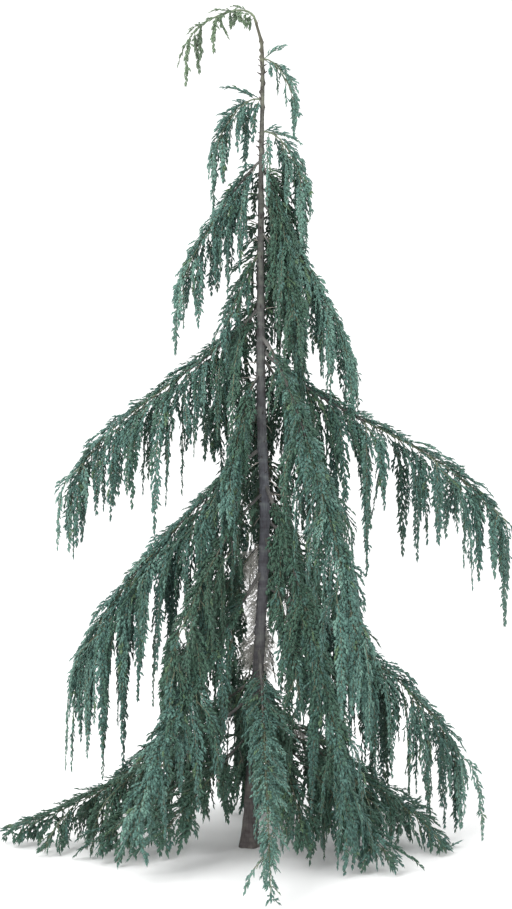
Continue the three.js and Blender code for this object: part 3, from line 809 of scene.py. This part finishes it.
# Heights between which the trunk shows, and how far to its left and right it shows at its foot.
TRUNK_SHOWN, FOOT_SHOWN, FOOT_SIDES, TRUNK_CLEAR = (640, 2680), (40, 330), (-52, 6), 12


def hides_trunk(points):
    across, height = as_seen(points)
    beside = across - np.interp(height, TRUNK_HEIGHTS, TRUNK_LEANS)
    in_front = points[..., 1] < 0
    clear = np.interp(height, TRUNK_HEIGHTS, TRUNK_WIDTHS) / 2 + TRUNK_CLEAR
    along_trunk = between(height, *TRUNK_SHOWN) & (np.abs(beside) < clear)
    at_foot = between(height, *FOOT_SHOWN) & between(beside, *FOOT_SIDES)
    return in_front & (along_trunk | at_foot)


# %% [markdown]
# ## Which twigs are shown
#
# One tail in three is a full one, as in the CAD masses. The others are cut short, so that the upper
# half of a row is dense and its lower edge is a fringe of separate tips, and towards the bough's
# tip more and more of them are left out. Tails of one side hang together in plumes: each short one
# leans towards the full one next to it. A twig that would leave the plant's box is left out.

# %% Twigs to show
FOLIAGE_SEED = 2026
LOW_BOUGHS, HIGH_BOUGHS, SMALL_BOUGH = 900, 1800, 320
LOWEST_TWIG, TWIG_MARGIN, FREE_SHARE = 8, 30, 0.2
luck = np.random.default_rng(FOLIAGE_SEED)
REACH = [np.array(corner) / MM for corner in cad_box]


def is_low(bough):
    return bough["height"] < LOW_BOUGHS


def in_reach(points):
    return np.all(between(points, REACH[0] - TWIG_MARGIN, REACH[1] + TWIG_MARGIN))


def cut_short(twig, share):
    last = len(twig["points"]) - 1
    points = np.array([along(twig["points"], share * k / last) for k in range(last + 1)])
    return {**twig, "points": points, "length": twig["length"] * share}


def lean_to(tail, lead, pull):
    shares = np.linspace(0, 1, len(tail["points"]))
    ratio = tail["length"] / lead["length"]
    beside = np.array([along(lead["points"], min(1, share * ratio)) for share in shares])
    points = tail["points"].copy()
    points[:, :2] += (beside - points)[:, :2] * (pull * shares)[:, None]
    return {**tail, "points": points}


def lead_of(tail, leads):
    order = tail["order"]
    return leads.get(order - 2 if order % 3 == 2 else order + 2)


def stays(points):
    hidden = np.mean(is_open(points[1:]) | hides_trunk(points[1:]))
    inside = np.min(points[:, 2]) > LOWEST_TWIG and in_reach(points)
    return inside and (hidden < FREE_SHARE or luck.random() > hidden + 0.3)


def stretched(twig, factor):
    root = twig["points"][0]
    points = root + (twig["points"] - root) * factor
    return {**twig, "points": points, "length": twig["length"] * factor}


def off_the_ground(twig):
    low = np.nonzero(twig["points"][:, 2] < LEVEL_HEIGHT)[0]
    if not len(low):
        return twig
    return cut_short(twig, max(0.4, low[0] / (len(twig["points"]) - 1)))


def lifted(twig, rise):
    points = twig["points"].copy()
    points[:, 2] += rise * twig["length"] * np.linspace(0, 1, len(points))
    return {**twig, "points": points}


DENSE = ("left_wide", "left_foot")  # their rows have few gaps
# Shares of a row left out, at the foot and at the tip of a bough and among its last few tails.
SMALL_GAPS, USUAL_GAPS, DENSE_TIP_GAPS, LAST_GAPS, LAST_TAILS = (0.1, 0.8), (0.0, 0.6), 0.1, 0.8, 6


def is_left_out(bough, tail):
    if not tail["edge"]:
        return False
    foot, tip = SMALL_GAPS if bough["length"] < SMALL_BOUGH else USUAL_GAPS
    tip = DENSE_TIP_GAPS if bough["name"] in DENSE else tip
    at_tip = tail["order"] < LAST_TAILS and not is_low(bough)
    return luck.random() < (LAST_GAPS if at_tip else mix(foot, tip, tail["share"]))


# Full tails are longer and shorter by turns.
FULL_TAILS, SMALL_TAIL, FULL_TAIL_CLEAR = [1.2, 1.0], 0.9, 30
# The others keep a part of their length in these ranges.
LOW_CUTS, CUTS, PLUME_PULL = (0.6, 1), (0.45, 0.85), 0.75
# From which share of a bough its tails get short, and how short they are at its tip.
SHORT_TIPS = {"front_low": (0.5, 0.15)}
LOW_TIPS, SPRAY_TIPS = (0.8, 0.6), (0.8, 1)


def tip_factor(bough, share, usual):
    start, least = SHORT_TIPS.get(bough["name"], usual)
    return mix(1, least, max(0, share - start) / (1 - start))


def full_tail(bough, tail):
    factor = FULL_TAILS[tail["order"] // 3 % 2] if bough["limb"] else SMALL_TAIL
    longer = stretched(tail, factor)
    return longer if np.min(longer["points"][:, 2]) > FULL_TAIL_CLEAR else tail


def shown_tails(bough):
    shown = []
    leads = {t["order"]: t for t in bough["tails"] if t["edge"] and t["order"] % 3 == 0}
    for tail in bough["tails"]:
        if tail["order"] % 3 == 0:
            twig = full_tail(bough, tail)
        elif is_left_out(bough, tail):
            continue
        else:
            twig = cut_short(tail, luck.uniform(*(LOW_CUTS if is_low(bough) else CUTS)))
            lead = lead_of(tail, leads) if tail["edge"] else None
            twig = lean_to(twig, lead, PLUME_PULL) if lead else twig
        if is_low(bough) and tail["edge"]:
            twig = cut_short(twig, tip_factor(bough, tail["share"], LOW_TIPS))
        twig = off_the_ground(twig)
        if stays(twig["points"]):
            shown.append(twig)
    return shown


# %% Sprays to show
# A bough that points at the eye shows its back, so that one has more sprays along its top.
TO_THE_EYE, LAST_COVER = (225, 325), 0.85
# Every fourth spray is large and stands up. Factors on its length, and how much it rises.
LARGE_SPRAYS, SMALL_SPRAYS, LARGE_RISE, SMALL_RISE = (1.15, 1.5), (0.6, 0.9), 0.16, 0.06
LOW_SPRAYS, HIGH_SPRAYS, COVER_TURNS, COVER_LENGTHS, COVER_RISE = 1.3, 1.1, (-14, 14), (60, 100), 6


def cover_sprays(bough):
    made = []
    if not between(bough["bearing"], *TO_THE_EYE):
        return made
    for spray in bough["sprays"][::2]:
        if spray["share"] > LAST_COVER:
            continue
        slope = slope_at(bough["slopes"], spray["share"])
        bearing = bearing_at(bough, spray["share"]) + luck.uniform(*COVER_TURNS)
        length = luck.uniform(*COVER_LENGTHS)
        cover = grow_spray(spray["points"][0], bearing, slope + COVER_RISE, length)
        made.append({**cover, "share": spray["share"], "order": spray["order"]})
    return made


def shown_sprays(bough):
    if bough["name"] == "leader":
        return [spray for spray in bough["sprays"] if spray["order"] % 3 == 0]
    longer = LOW_SPRAYS if is_low(bough) else HIGH_SPRAYS
    sprays = []
    for spray in bough["sprays"]:
        large = spray["order"] % 4 == 0
        factor = longer * luck.uniform(*(LARGE_SPRAYS if large else SMALL_SPRAYS))
        factor *= tip_factor(bough, spray["share"], SPRAY_TIPS)
        sprays.append(lifted(stretched(spray, factor), LARGE_RISE if large else SMALL_RISE))
    return [spray for spray in sprays + cover_sprays(bough) if stays(spray["points"])]


for bough in boughs:
    bough["tails"], bough["sprays"] = shown_tails(bough), shown_sprays(bough)
say_twigs("shown:")

# %% [markdown]
# ## Fronds
#
# A tail is a long flat frond: a hanging axis with strings of leaves to its left and right by turns.
# A string leaves the axis at a slant and bends down beside it. Strings are longest a little below
# the tail's root and get short towards its tip, where only kites are left. A spray on top of a
# bough is a small frond by the same rule. Copies of one frond would be lighter, but then all fronds
# would look alike. Those of a mass are worked out together: "owner" says which twig or string each
# leaf belongs to.

# %% Places along many twigs at once
def spots(lengths, step, start, end):
    counts = np.maximum(2, (lengths * (end - start) / step).astype(int))
    owner = np.repeat(np.arange(len(lengths)), counts)
    place = np.arange(len(owner)) - np.repeat(np.cumsum(counts) - counts, counts)
    jitter = luck.uniform(0.25, 0.75, len(owner))
    return owner, place, mix(start, end, (place + jitter) / counts[owner])


def on_routes(routes, owner, shares):
    last = routes.shape[1] - 1
    index = np.minimum((shares * last).astype(int), last - 1)
    start, end = routes[owner, index], routes[owner, index + 1]
    return start + (end - start) * (shares * last - index)[:, None], unit(end - start)


def square_to(vectors, ways):
    return unit(vectors - np.sum(vectors * ways, 1)[:, None] * ways)


# Leaves and strings stand to the left and right of their axis by turns, slanted and a bit lifted.
def slanted(ahead, side, place, slants, wobble):
    hand = np.where(place % 2, -1.0, 1.0)[:, None]
    slant = np.radians(luck.uniform(*slants, len(place)))[:, None]
    lift = np.cross(ahead, side) * luck.normal(0, wobble, len(place))[:, None]
    return unit(ahead * np.cos(slant) + side * hand * np.sin(slant) + lift)


# %% Leaves along routes
LEAF_STEP, LEAF_LENGTH, LEAF_HALF, LEAF_SLANTS = 9.5, 27, 4.8, (7, 19)
LEAF_WOBBLE, LEAF_LENGTHS, LAST_LEAF = 0.16, (0.62, 1.38), 0.97
LEAF_AT_ROOT, LEAF_AT_TIP = 1.1, 0.8


def leaves_on(routes, sides, lengths, start, end, size):
    owner, place, share = spots(lengths, LEAF_STEP, start, end)
    roots, ahead = on_routes(routes, owner, share)
    side = square_to(sides[owner], ahead)
    ways = slanted(ahead, side, place, LEAF_SLANTS, LEAF_WOBBLE)
    long = LEAF_LENGTH * size * luck.uniform(*LEAF_LENGTHS, len(owner))
    long = long * mix(LEAF_AT_ROOT, LEAF_AT_TIP, share)
    return owner, roots, ways, square_to(side, ways), long, np.full(len(owner), LEAF_HALF * size)


def tips_of(routes, sides, size):
    count = len(routes)
    owner = np.arange(count)
    roots, ahead = on_routes(routes, owner, np.full(count, LAST_LEAF))
    long, half = np.full(count, LEAF_LENGTH * size), np.full(count, LEAF_HALF * size)
    return owner, roots, ahead, square_to(sides, ahead), long, half


# %% Strings of leaves beside an axis
STRING_SLANTS, STRING_WOBBLE, STRING_LENGTHS, FIRST_STRING = (24, 44), 0.22, (0.7, 1.15), 0.03
NEAR_TURN, FAR_TURN = 0.15, 0.7  # how far the halves of a string turn to the axis' way
NARROWEST, WIDENING, AXIS_HALF, AXIS_LENGTH = 0.22, 0.13, 4.0, 0.62
MISSING_STRINGS, STRAY_STRINGS = 0.06, 0.35  # shares lost anywhere, and kept in an opening


def strings_of(routes, sides, lengths, widest, end, apart):
    owner, place, share = spots(lengths, apart, FIRST_STRING, end)
    kept = luck.random(len(owner)) > MISSING_STRINGS
    owner, place, share = owner[kept], place[kept], share[kept]
    roots, ahead = on_routes(routes, owner, share)
    side = square_to(sides[owner], ahead)
    ways = slanted(ahead, side, place, STRING_SLANTS, STRING_WOBBLE)
    fade = np.minimum(1, (share + 0.05) / WIDENING) * mix(1, NARROWEST, share / end)
    long = widest[owner] * fade * luck.uniform(*STRING_LENGTHS, len(owner))
    near, far = unit(mix(ways, ahead, NEAR_TURN)), unit(mix(ways, ahead, FAR_TURN))
    bend = roots + near * (long / 2)[:, None]
    string_routes = np.stack([roots, bend, bend + far * (long / 2)[:, None]], axis=1)
    kept = ~(is_open(bend) | hides_trunk(bend)) | (luck.random(len(bend)) < STRAY_STRINGS)
    return owner[kept], string_routes[kept], square_to(side, ways)[kept], long[kept]


def string_axes(routes, sides, lengths):
    parts, long = [], lengths * AXIS_LENGTH
    for ring in range(2):
        ways = unit(routes[:, ring + 1] - routes[:, ring])
        half = np.full(len(long), AXIS_HALF)
        parts.append((routes[:, ring], ways, square_to(sides, ways), long, half))
    owner = np.tile(np.arange(len(routes)), 2)
    return owner, *(np.concatenate(pieces) for pieces in zip(*parts))


# %% A string's tint is that of its tail or the one next to it, and a few are new growth
NEW_GROWTH_SHARE = 0.04


def near_tints(tints):
    shifted = np.clip(tints + luck.choice([-1, -1, 0, 0, 1, 1], len(tints)), 0, NEW_GROWTH - 1)
    shifted = np.where(luck.random(len(tints)) < NEW_GROWTH_SHARE, NEW_GROWTH, shifted)
    return np.where(tints < NEW_GROWTH, shifted, tints)


# %% All the fronds of some twigs
FROND_TWIST, AXIS_LEAVES, STRING_LEAVES = 1.2, (0.04, 0.98), (0.1, 0.96)


def level_ways(turns):
    return np.stack([-np.sin(turns), np.cos(turns), np.zeros(len(turns))], axis=1)


def fronds(twigs, widest, end, tints, size, apart):
    routes = np.array([twig["points"] for twig in twigs])
    lengths = np.array([twig["length"] for twig in twigs])
    turns = np.radians([twig["bearing"] for twig in twigs])
    sides = level_ways(turns + luck.uniform(-FROND_TWIST, FROND_TWIST, len(twigs)))
    owner, *strings, long = strings_of(routes, sides, lengths, widest, end, apart)
    string_tints = near_tints(tints[owner])
    on_axes = [
        leaves_on(routes, sides, lengths, *AXIS_LEAVES, size),
        tips_of(routes, sides, size),
    ]
    beside = [
        string_axes(*strings, long),
        leaves_on(*strings, long, *STRING_LEAVES, size),
        tips_of(*strings, size),
    ]
    finishes = [tints[part[0]] for part in on_axes] + [string_tints[part[0]] for part in beside]
    shape = [np.concatenate(pieces) for pieces in zip(*on_axes, *beside)][1:]
    return (*shape, np.concatenate(finishes))


# %% [markdown]
# Which tint a tail gets depends on where it hangs, and so light and shade are painted into the
# foliage's colour. The outside of the crown and the small boughs near the top get paler, silvery
# tints as painted light; near the trunk the darker tints are painted shade. A share of luck keeps
# neighbours apart. Each bough also has a paleness of its own, which is painted shade where others
# shade it and painted light where it is lit.

# %% Dealing tints, with painted light and shade
# The usual paleness and its step along a bough are painted light and shade: paler towards the tip,
# darker near the trunk.
USUAL_PAINTED_LIGHT_AND_SHADE, PAINTED_LIGHT_OUTWARDS, TINT_LUCK = 0.3, 0.45, 0.12
# Paleness of each bough, painted into its colour: low values are painted shade for boughs low down
# or under others, high ones painted light for lit boughs at the top and outside.
BOUGH_PAINTED_LIGHT_AND_SHADE = {
    "right_top": 0.8, "left_top": 0.75, "right_crest": 0.88, "left_crest": 0.7, "right_upper": 1.0,
    "left_middle": 0.55, "right_middle": 0.6, "front_right_high": 0.54, "left_wide": 0.62,
    "front_right_low": 0.38, "right_wide": 0.72, "front_low": 0.64, "left_front": 0.48,
    "right_inner_crest": 0.22, "right_inner_high": 0.22, "left_foot": 0.12, "left_low_foot": 0.1,
    "front_left_low": 0.08, "front_left_foot": 0.12, "front_right_foot": 0.28,
    "front_right_skirt": 0.2, "left_inner_high": 0.44, "left_inner_middle": 0.44,
}


def deal_tints_with_painted_light_and_shade(bough, twigs):
    shares = np.array([twig["share"] for twig in twigs])
    # Painted light and shade: paleness by bough and by share along it, plus random tone.
    pale = BOUGH_PAINTED_LIGHT_AND_SHADE.get(bough["name"], USUAL_PAINTED_LIGHT_AND_SHADE) + PAINTED_LIGHT_OUTWARDS * (shares - 0.45)
    pale = pale + luck.normal(0, TINT_LUCK, len(twigs))
    return np.clip(pale * NEW_GROWTH, 0, NEW_GROWTH - 1).astype(int)


# %% Leaves of each mass
LEAF_MARGIN, LOWEST_TIP, LOWEST_ROOT = 38, 3, 6
LIMB_CLEAR, FRONT_LIMB_CLEAR, FRONT_LIMBS, LEAVES_ON_LIMBS = 4, 7, (240, 300), 0.25


def hides_limb(bough, points):
    limb = np.array([along(bough["points"], share) for share in np.linspace(0.05, 0.95, 90)])
    leaf_spots, limb_spots = (np.stack(as_seen(places), 1) for places in (points, limb))
    gaps = np.linalg.norm(leaf_spots[:, None] - limb_spots, axis=2)
    nearest = np.argmin(gaps, axis=1)
    in_front = points[:, 1] < limb[nearest, 1]
    clear = FRONT_LIMB_CLEAR if between(bough["bearing"], *FRONT_LIMBS) else LIMB_CLEAR
    return in_front & (gaps[np.arange(len(points)), nearest] < clear)


def leaf_mesh(name, bough, parts):
    *shape, finishes = (np.concatenate(pieces) for pieces in zip(*parts))
    roots, ways, _, long, _ = shape
    tips = roots + ways * long[:, None]
    low, high = REACH[0] - LEAF_MARGIN, REACH[1] + LEAF_MARGIN
    low[2] = LOWEST_TIP
    kept = np.all(between(tips, low, high), axis=1) & (roots[:, 2] > LOWEST_ROOT)
    if bough:
        on_limb = hides_limb(bough, mix(roots, tips, 0.5))
        kept &= ~on_limb | (luck.random(len(tips)) < LEAVES_ON_LIMBS)
    corners, faces = kites(*(values[kept] for values in shape))
    return array_mesh(name, corners, faces, np.repeat(finishes[kept], 4))


# Towards a bough's tip its fronds get narrower, down to these shares of their width.
TAPER_START, SHORT_TAPER, LOW_TAPER, HIGH_TAPER = 0.65, 0.4, 0.7, 0.55


def tip_taper(bough, twigs):
    shares = np.array([twig["share"] for twig in twigs])
    least = LOW_TAPER if is_low(bough) else HIGH_TAPER
    least = SHORT_TAPER if bough["name"] in SHORT_TIPS else least
    return mix(1, least, np.clip((shares - TAPER_START) / 0.35, 0, 1))


# Share of a tail's length, least width of a tail and width of a spray.
LOW_WIDTHS, HIGH_WIDTHS, WIDEST_TAIL = (0.36, 50, 64), (0.22, 32, 52), 82
STRING_GAP, WIDE_STRING_GAP, SMALL_LEAVES = 16, 18, 0.85
TAIL_STRINGS_END, SPRAY_STRINGS_END = 0.82, 0.75


def mass_of_leaves(bough):
    tails, sprays = bough["tails"], bough["sprays"]
    part, least, spray_width = LOW_WIDTHS if is_low(bough) else HIGH_WIDTHS
    widths = np.clip([part * tail["length"] for tail in tails], least, WIDEST_TAIL)
    widths = widths * tip_taper(bough, tails)
    apart = WIDE_STRING_GAP if between(bough["height"], LOW_BOUGHS, HIGH_BOUGHS) else STRING_GAP
    size = SMALL_LEAVES if bough["name"] in SHORT_TIPS else 1.0
    parts = [fronds(tails, widths, TAIL_STRINGS_END, deal_tints_with_painted_light_and_shade(bough, tails), size, apart)]
    if sprays:
        widths = spray_width * tip_taper(bough, sprays)
        tints, end = deal_tints_with_painted_light_and_shade(bough, sprays), SPRAY_STRINGS_END
        parts.append(fronds(sprays, widths, end, tints, size, STRING_GAP))
    return leaf_mesh(f"{bough['name']}_leaves", bough, parts)


# %% [markdown]
# The leader's shoots are young: strings of pressed scales with hardly a side twig. They could be
# beaded rods, but the rule for fronds makes them too, with strings far apart and a paler tint.

# %% The leader's leaves
LEADER_STRING_GAP = 46


def leader_leaves(bough):
    first = BOUGH_STEPS // 4
    stem = {
        "points": bough["points"][first::3], "length": bough["length"] * 3 / 4,
        "bearing": bough["bearing"],
    }
    parts = []
    stems, tails, sprays = [stem] * 2, bough["tails"] * 2, bough["sprays"]
    for twigs, widest, size in ((stems, 14.0, 0.95), (tails, 16.0, 1.0), (sprays, 14.0, 0.9)):
        tints, widths = np.full(len(twigs), LEADER_GREEN), np.full(len(twigs), widest)
        parts.append(fronds(twigs, widths, 0.8, tints, size, LEADER_STRING_GAP))
    return leaf_mesh(f"{bough['name']}_leaves", None, parts)


leaf_faces = 0
for bough in boughs:
    mesh = leader_leaves(bough) if bough["name"] == "leader" else mass_of_leaves(bough)
    replaced = [f"{bough['name']}_foliage"] if bough["name"] in SOLID_NAMES else []
    finish_piece(mesh, mesh.name, LEAF_MATERIALS, replaced)
    leaf_faces += len(mesh.polygons)
print("leaves:", leaf_faces, "faces")


# %% [markdown]
# The upper trunk sends out short green shoots of its own between the boughs. None of them has a
# place that matters, so dice choose their places instead of a table, and they are small fronds.

# %% Short leafy shoots on the upper trunk
SHOOT_COUNT, SHOOT_HEIGHTS, SHOOT_WIDTH, SHOOT_STRING_GAP = 20, (1850, 2520), 40.0, 12


def short_shoots():
    dice, made = make_dice(53), []
    for k in range(SHOOT_COUNT):
        height = dice(SHOOT_HEIGHTS)
        bearing = dice((130, 215)) if k % 2 else dice((20, 215))
        start = (trunk_value(TRUNK_LEANS, height), 0, height)
        made.append(grow_spray(start, bearing, dice((-50, 5)), dice((40, 85))))
    return made


shoots = short_shoots()
shoot_widths = np.full(len(shoots), SHOOT_WIDTH)
# The shoots take only the three darkest greens, as painted shade inside the crown.
shoot_painted_shade_tints = luck.integers(0, 3, len(shoots))
shoot_fronds = fronds(shoots, shoot_widths, 0.95, shoot_painted_shade_tints, 1.1, SHOOT_STRING_GAP)
shoot_leaves = leaf_mesh("short_shoots", None, [shoot_fronds])
finish_piece(shoot_leaves, "short_shoots", LEAF_MATERIALS, [])
print(len(shoots), "short shoots,", len(shoot_leaves.polygons), "faces")

# %% [markdown]
# ## Twigs
#
# The axis of each tail and spray is a thin three-sided twig, brown-green, tapering to its tip. A
# rounder one would cost more faces than an eye can see. They are worked out all at once from arrays
# and joined into one piece.

# %% Twig tubes
def twig_tubes(twigs, foot, tip):
    points = np.array([twig["points"] for twig in twigs])
    count, rings = points.shape[:2]
    ahead = unit(np.gradient(points, axis=1))
    level = level_ways(np.radians([twig["bearing"] for twig in twigs]))[:, None, :]
    side = unit(level - np.sum(level * ahead, 2, keepdims=True) * ahead)
    up = np.cross(ahead, side)
    radii = np.linspace(foot, tip, rings)[None, :, None, None]
    angles = np.radians([0, 120, 240])[None, None, :, None]
    corners = points[:, :, None] + radii * (
        side[:, :, None] * np.cos(angles) + up[:, :, None] * np.sin(angles)
    )
    faces = []
    for ring in range(rings - 1):
        for k in range(3):
            a, b = ring * 3 + k, ring * 3 + (k + 1) % 3
            faces += [[a, b, b + 3], [a, b + 3, a + 3]]
    last = (rings - 1) * 3
    faces += [[0, 2, 1], [last, last + 1, last + 2]]
    first = np.arange(count)[:, None, None] * rings * 3
    return corners.reshape(-1, 3), (first + np.array(faces)).reshape(-1, 3)


def twig_piece(name, material, *groups):
    made = [twig_tubes(*group) for group in groups]
    corners = np.concatenate([part[0] for part in made])
    starts = np.cumsum([0] + [len(part[0]) for part in made])
    faces = np.concatenate([part[1] + start for part, start in zip(made, starts)])
    mesh = array_mesh(name, corners, faces, np.zeros(len(faces)))
    finish_piece(mesh, name, [material], [])
    print(name, "piece:", len(faces), "faces")


TAIL_RADII, SPRAY_RADII = (1.9, 0.9), (1.5, 0.8)  # at the root and at the tip
tails = [tail for bough in boughs for tail in bough["tails"]]
sprays = [spray for bough in boughs for spray in bough["sprays"]] + shoots
twig_piece("fine_twigs", TWIG_BARK, (tails, *TAIL_RADII), (sprays, *SPRAY_RADII))

# %% [markdown]
# ## Dead shoots
#
# Bare grey shoots stand off the trunk between the boughs. They could grow out of the trunk's own
# mesh, but as rods they keep their round shape and their paler bark. Each is a short bent rod whose
# root is inside the trunk.

# %% Dead shoots
DEAD_SHOOTS = [  # height, bearing, length, slope at the root, slope at the tip
    (1395, 340, 95, -20, -62), (1330, 352, 110, 10, -30), (1180, 345, 120, -10, -70),
    (1120, 350, 100, -5, -55), (1460, 200, 70, -15, -50), (1010, 200, 80, -20, -60),
    (2350, 182, 70, 30, 10), (2290, 186, 60, 20, -10), (2215, 178, 75, 25, 0),
    (2120, 184, 60, 30, 5), (2030, 5, 55, 20, 0), (1830, 182, 50, 10, -20),
    (1765, 180, 60, 20, -10), (3108, 60, 26, 60, 50), (900, 330, 90, -20, -60),
    (800, 215, 80, -10, -50), (700, 335, 90, -20, -55), (2480, 60, 60, 30, 0),
    (1900, 100, 80, 10, -30), (1600, 60, 90, 0, -40), (1260, 110, 90, -10, -50),
    (950, 70, 90, -10, -50),
]


SHOOT_BEND, SHOOT_STEPS, SHOOT_TIP, SHOOT_RADIUS = 14, 8, 0.4, 2.6
SHOOT_SIDES, SHOOT_RINGS, SHOOT_KNOTS = 6, 12, 0.25


def shoot_rod(work, height, bearing, length, root, tip, thick):
    start = (trunk_value(TRUNK_LEANS, height), 0, height)
    inside = trunk_value(TRUNK_WIDTHS, height) / 2
    slope_of, form = lambda s: mix(root, tip, s), (SHOOT_SIDES, SHOOT_RINGS, SHOOT_KNOTS)
    route = grow(start, bearing, SHOOT_BEND, length + inside, slope_of, SHOOT_STEPS)
    lay_rod(work, route, lambda s: mix(thick, thick * SHOOT_TIP, s), bearing, *form)


def dead_shoots():
    work = bmesh.new()
    for row in DEAD_SHOOTS:
        shoot_rod(work, *row, SHOOT_RADIUS)
    return mesh_of(work, "dead_shoots")


# Twigs that the trunk shed long ago have left short stubs along its upper half. Their height,
# bearing, length, slope at the root, slope at the tip and radius lie in these ranges.
STUB_COUNT = 120
STUB_RANGES = (1250, 2980), (0, 360), (7, 21), (10, 60), (20, 70), (2.6, 4.6)


def stubs():
    work, dice = bmesh.new(), make_dice(31)
    for _ in range(STUB_COUNT):
        shoot_rod(work, *(dice(pair) for pair in STUB_RANGES))
    return mesh_of(work, "stubs")


finish_piece(stubs(), "stubs", [STUB_BARK], [])
finish_piece(dead_shoots(), "dead_shoots", [DEAD_WOOD], [])
print(len(DEAD_SHOOTS), "dead shoots and", STUB_COUNT, "stubs")

# %% [markdown]
# ## Dead twigs
#
# The shaded inner part of each bough has lost its leaves and keeps a tangle of thin grey twigs,
# which shows pale in the gaps beside the trunk. More of them stand on the trunk itself. A few
# hundred in the right places do as well as thousands that nobody sees: so they are tried all along
# the limbs behind the trunk, and the ones that hang in a gap are kept.

# %% Dead twigs in the crown's inside
TWIG_TRIES, TRUNK_TRIES, TWIG_STEPS = 30000, 5200, 6
TANGLE_LOW, TANGLE_HIGH, TANGLE_WIDTH, TANGLE_DEPTH, BEHIND = 200, 1350, 240, 12, 10
DEAD_TWIG_RANGES = (5, 175), (-80, 30), (40, 140), (-80, 40)  # bearing, slope, length, bend
DEAD_TWIG_SWING, DEAD_TWIG_RADII, IN_A_GAP = 60, (1.3, 0.6), 0.5


def tangle_starts(dice):
    routes = [bough["points"] for bough in boughs]
    starts = [along(routes[k % len(routes)], dice((0.02, 0.6))) for k in range(TWIG_TRIES)]
    for _ in range(TRUNK_TRIES):
        height = dice((TANGLE_LOW, TANGLE_HIGH))
        starts.append(np.array([trunk_value(TRUNK_LEANS, height), TANGLE_DEPTH, height]))
    return starts


def dead_twigs():
    dice, made = make_dice(67), []
    for start in tangle_starts(dice):
        across, height = as_seen(start)
        beside = abs(across - trunk_value(TRUNK_LEANS, height))
        if start[1] > BEHIND and TANGLE_LOW < height < TANGLE_HIGH and beside < TANGLE_WIDTH:
            bearing, slope, length, bend = (dice(pair) for pair in DEAD_TWIG_RANGES)
            slope_of = lambda s: slope + bend * s
            route = grow(start, bearing, DEAD_TWIG_SWING, length, slope_of, TWIG_STEPS)
            if np.min(route[:, 1]) > 0 and np.mean(is_open(route)) > IN_A_GAP:
                made.append({"points": route, "bearing": bearing})
    return made


tangle, DEAD_TWIG = dead_twigs(), leaf_material("dead twig", (196, 193, 186))
twig_piece("dead_twigs", DEAD_TWIG, (tangle, *DEAD_TWIG_RADII))
print(len(tangle), "dead twigs")

# %% [markdown]
# ## Floor, light and camera
#
# A plain pale floor and a white surrounding give the soft, even light of an overcast day. A sun
# lamp would throw hard shadows that such a day hasn't. One large lamp from the upper left gives the
# tails a lit side, and a weaker one low in front lifts the shade. The camera is where EYE is: at a
# person's eye height about six metres away, level.

# %% Floor
FLOOR_SIDES, FLOOR_RADIUS = 96, 60
floor_mesh = bpy.data.meshes.new("floor")
work = bmesh.new()
bmesh.ops.create_circle(work, cap_ends=True, segments=FLOOR_SIDES, radius=FLOOR_RADIUS)
work.to_mesh(floor_mesh)
work.free()
floor = bpy.data.objects.new("floor", floor_mesh)
bpy.context.scene.collection.objects.link(floor)
pale = new_material("pale floor", {"Base Color": (0.96, 0.96, 0.96, 1), "Roughness": 1.0})
floor_mesh.materials.append(pale)
floor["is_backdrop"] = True

# %% Light
world = bpy.data.worlds.new("studio")
world.use_nodes = True
sky = {"Color": (1.0, 1.0, 1.0, 1), "Strength": 1.27}
set_inputs(world.node_tree, world.node_tree.nodes["Background"], sky)
bpy.context.scene.world = world


def soft_lamp(name, place, aim, size, energy):
    lamp = bpy.data.lights.new(name, "AREA")
    lamp.shape, lamp.size, lamp.energy = "DISK", size, energy
    holder = bpy.data.objects.new(name, lamp)
    holder.location = place
    holder.rotation_euler = (Vector(aim) - holder.location).to_track_quat("-Z", "Y").to_euler()
    bpy.context.scene.collection.objects.link(holder)


soft_lamp("main lamp", (-3.2, -4.2, 5.6), (0, 0, 1.4), 4.0, 265)
soft_lamp("fill lamp", (0.4, -7.4, 0.9), (0, 0, 0.7), 4.0, 120)
bpy.context.scene.view_settings.view_transform = "Standard"

# %% Camera
LENS, SENSOR_WIDTH = 64.83, 36
camera = bpy.data.cameras.new("camera")
camera.lens, camera.sensor_width = LENS, SENSOR_WIDTH
camera_object = bpy.data.objects.new("camera", camera)
camera_object.location = EYE * MM
camera_object.rotation_euler = (math.radians(90), 0, 0)
bpy.context.scene.collection.objects.link(camera_object)
bpy.context.scene.camera = camera_object

# %% [markdown]
# ## Size
#
# Twigs and leaves are kept within a few centimetres of the CAD model's box, and both boxes are
# printed.

# %% Size
new_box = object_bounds()
say_box("visual box", new_box)
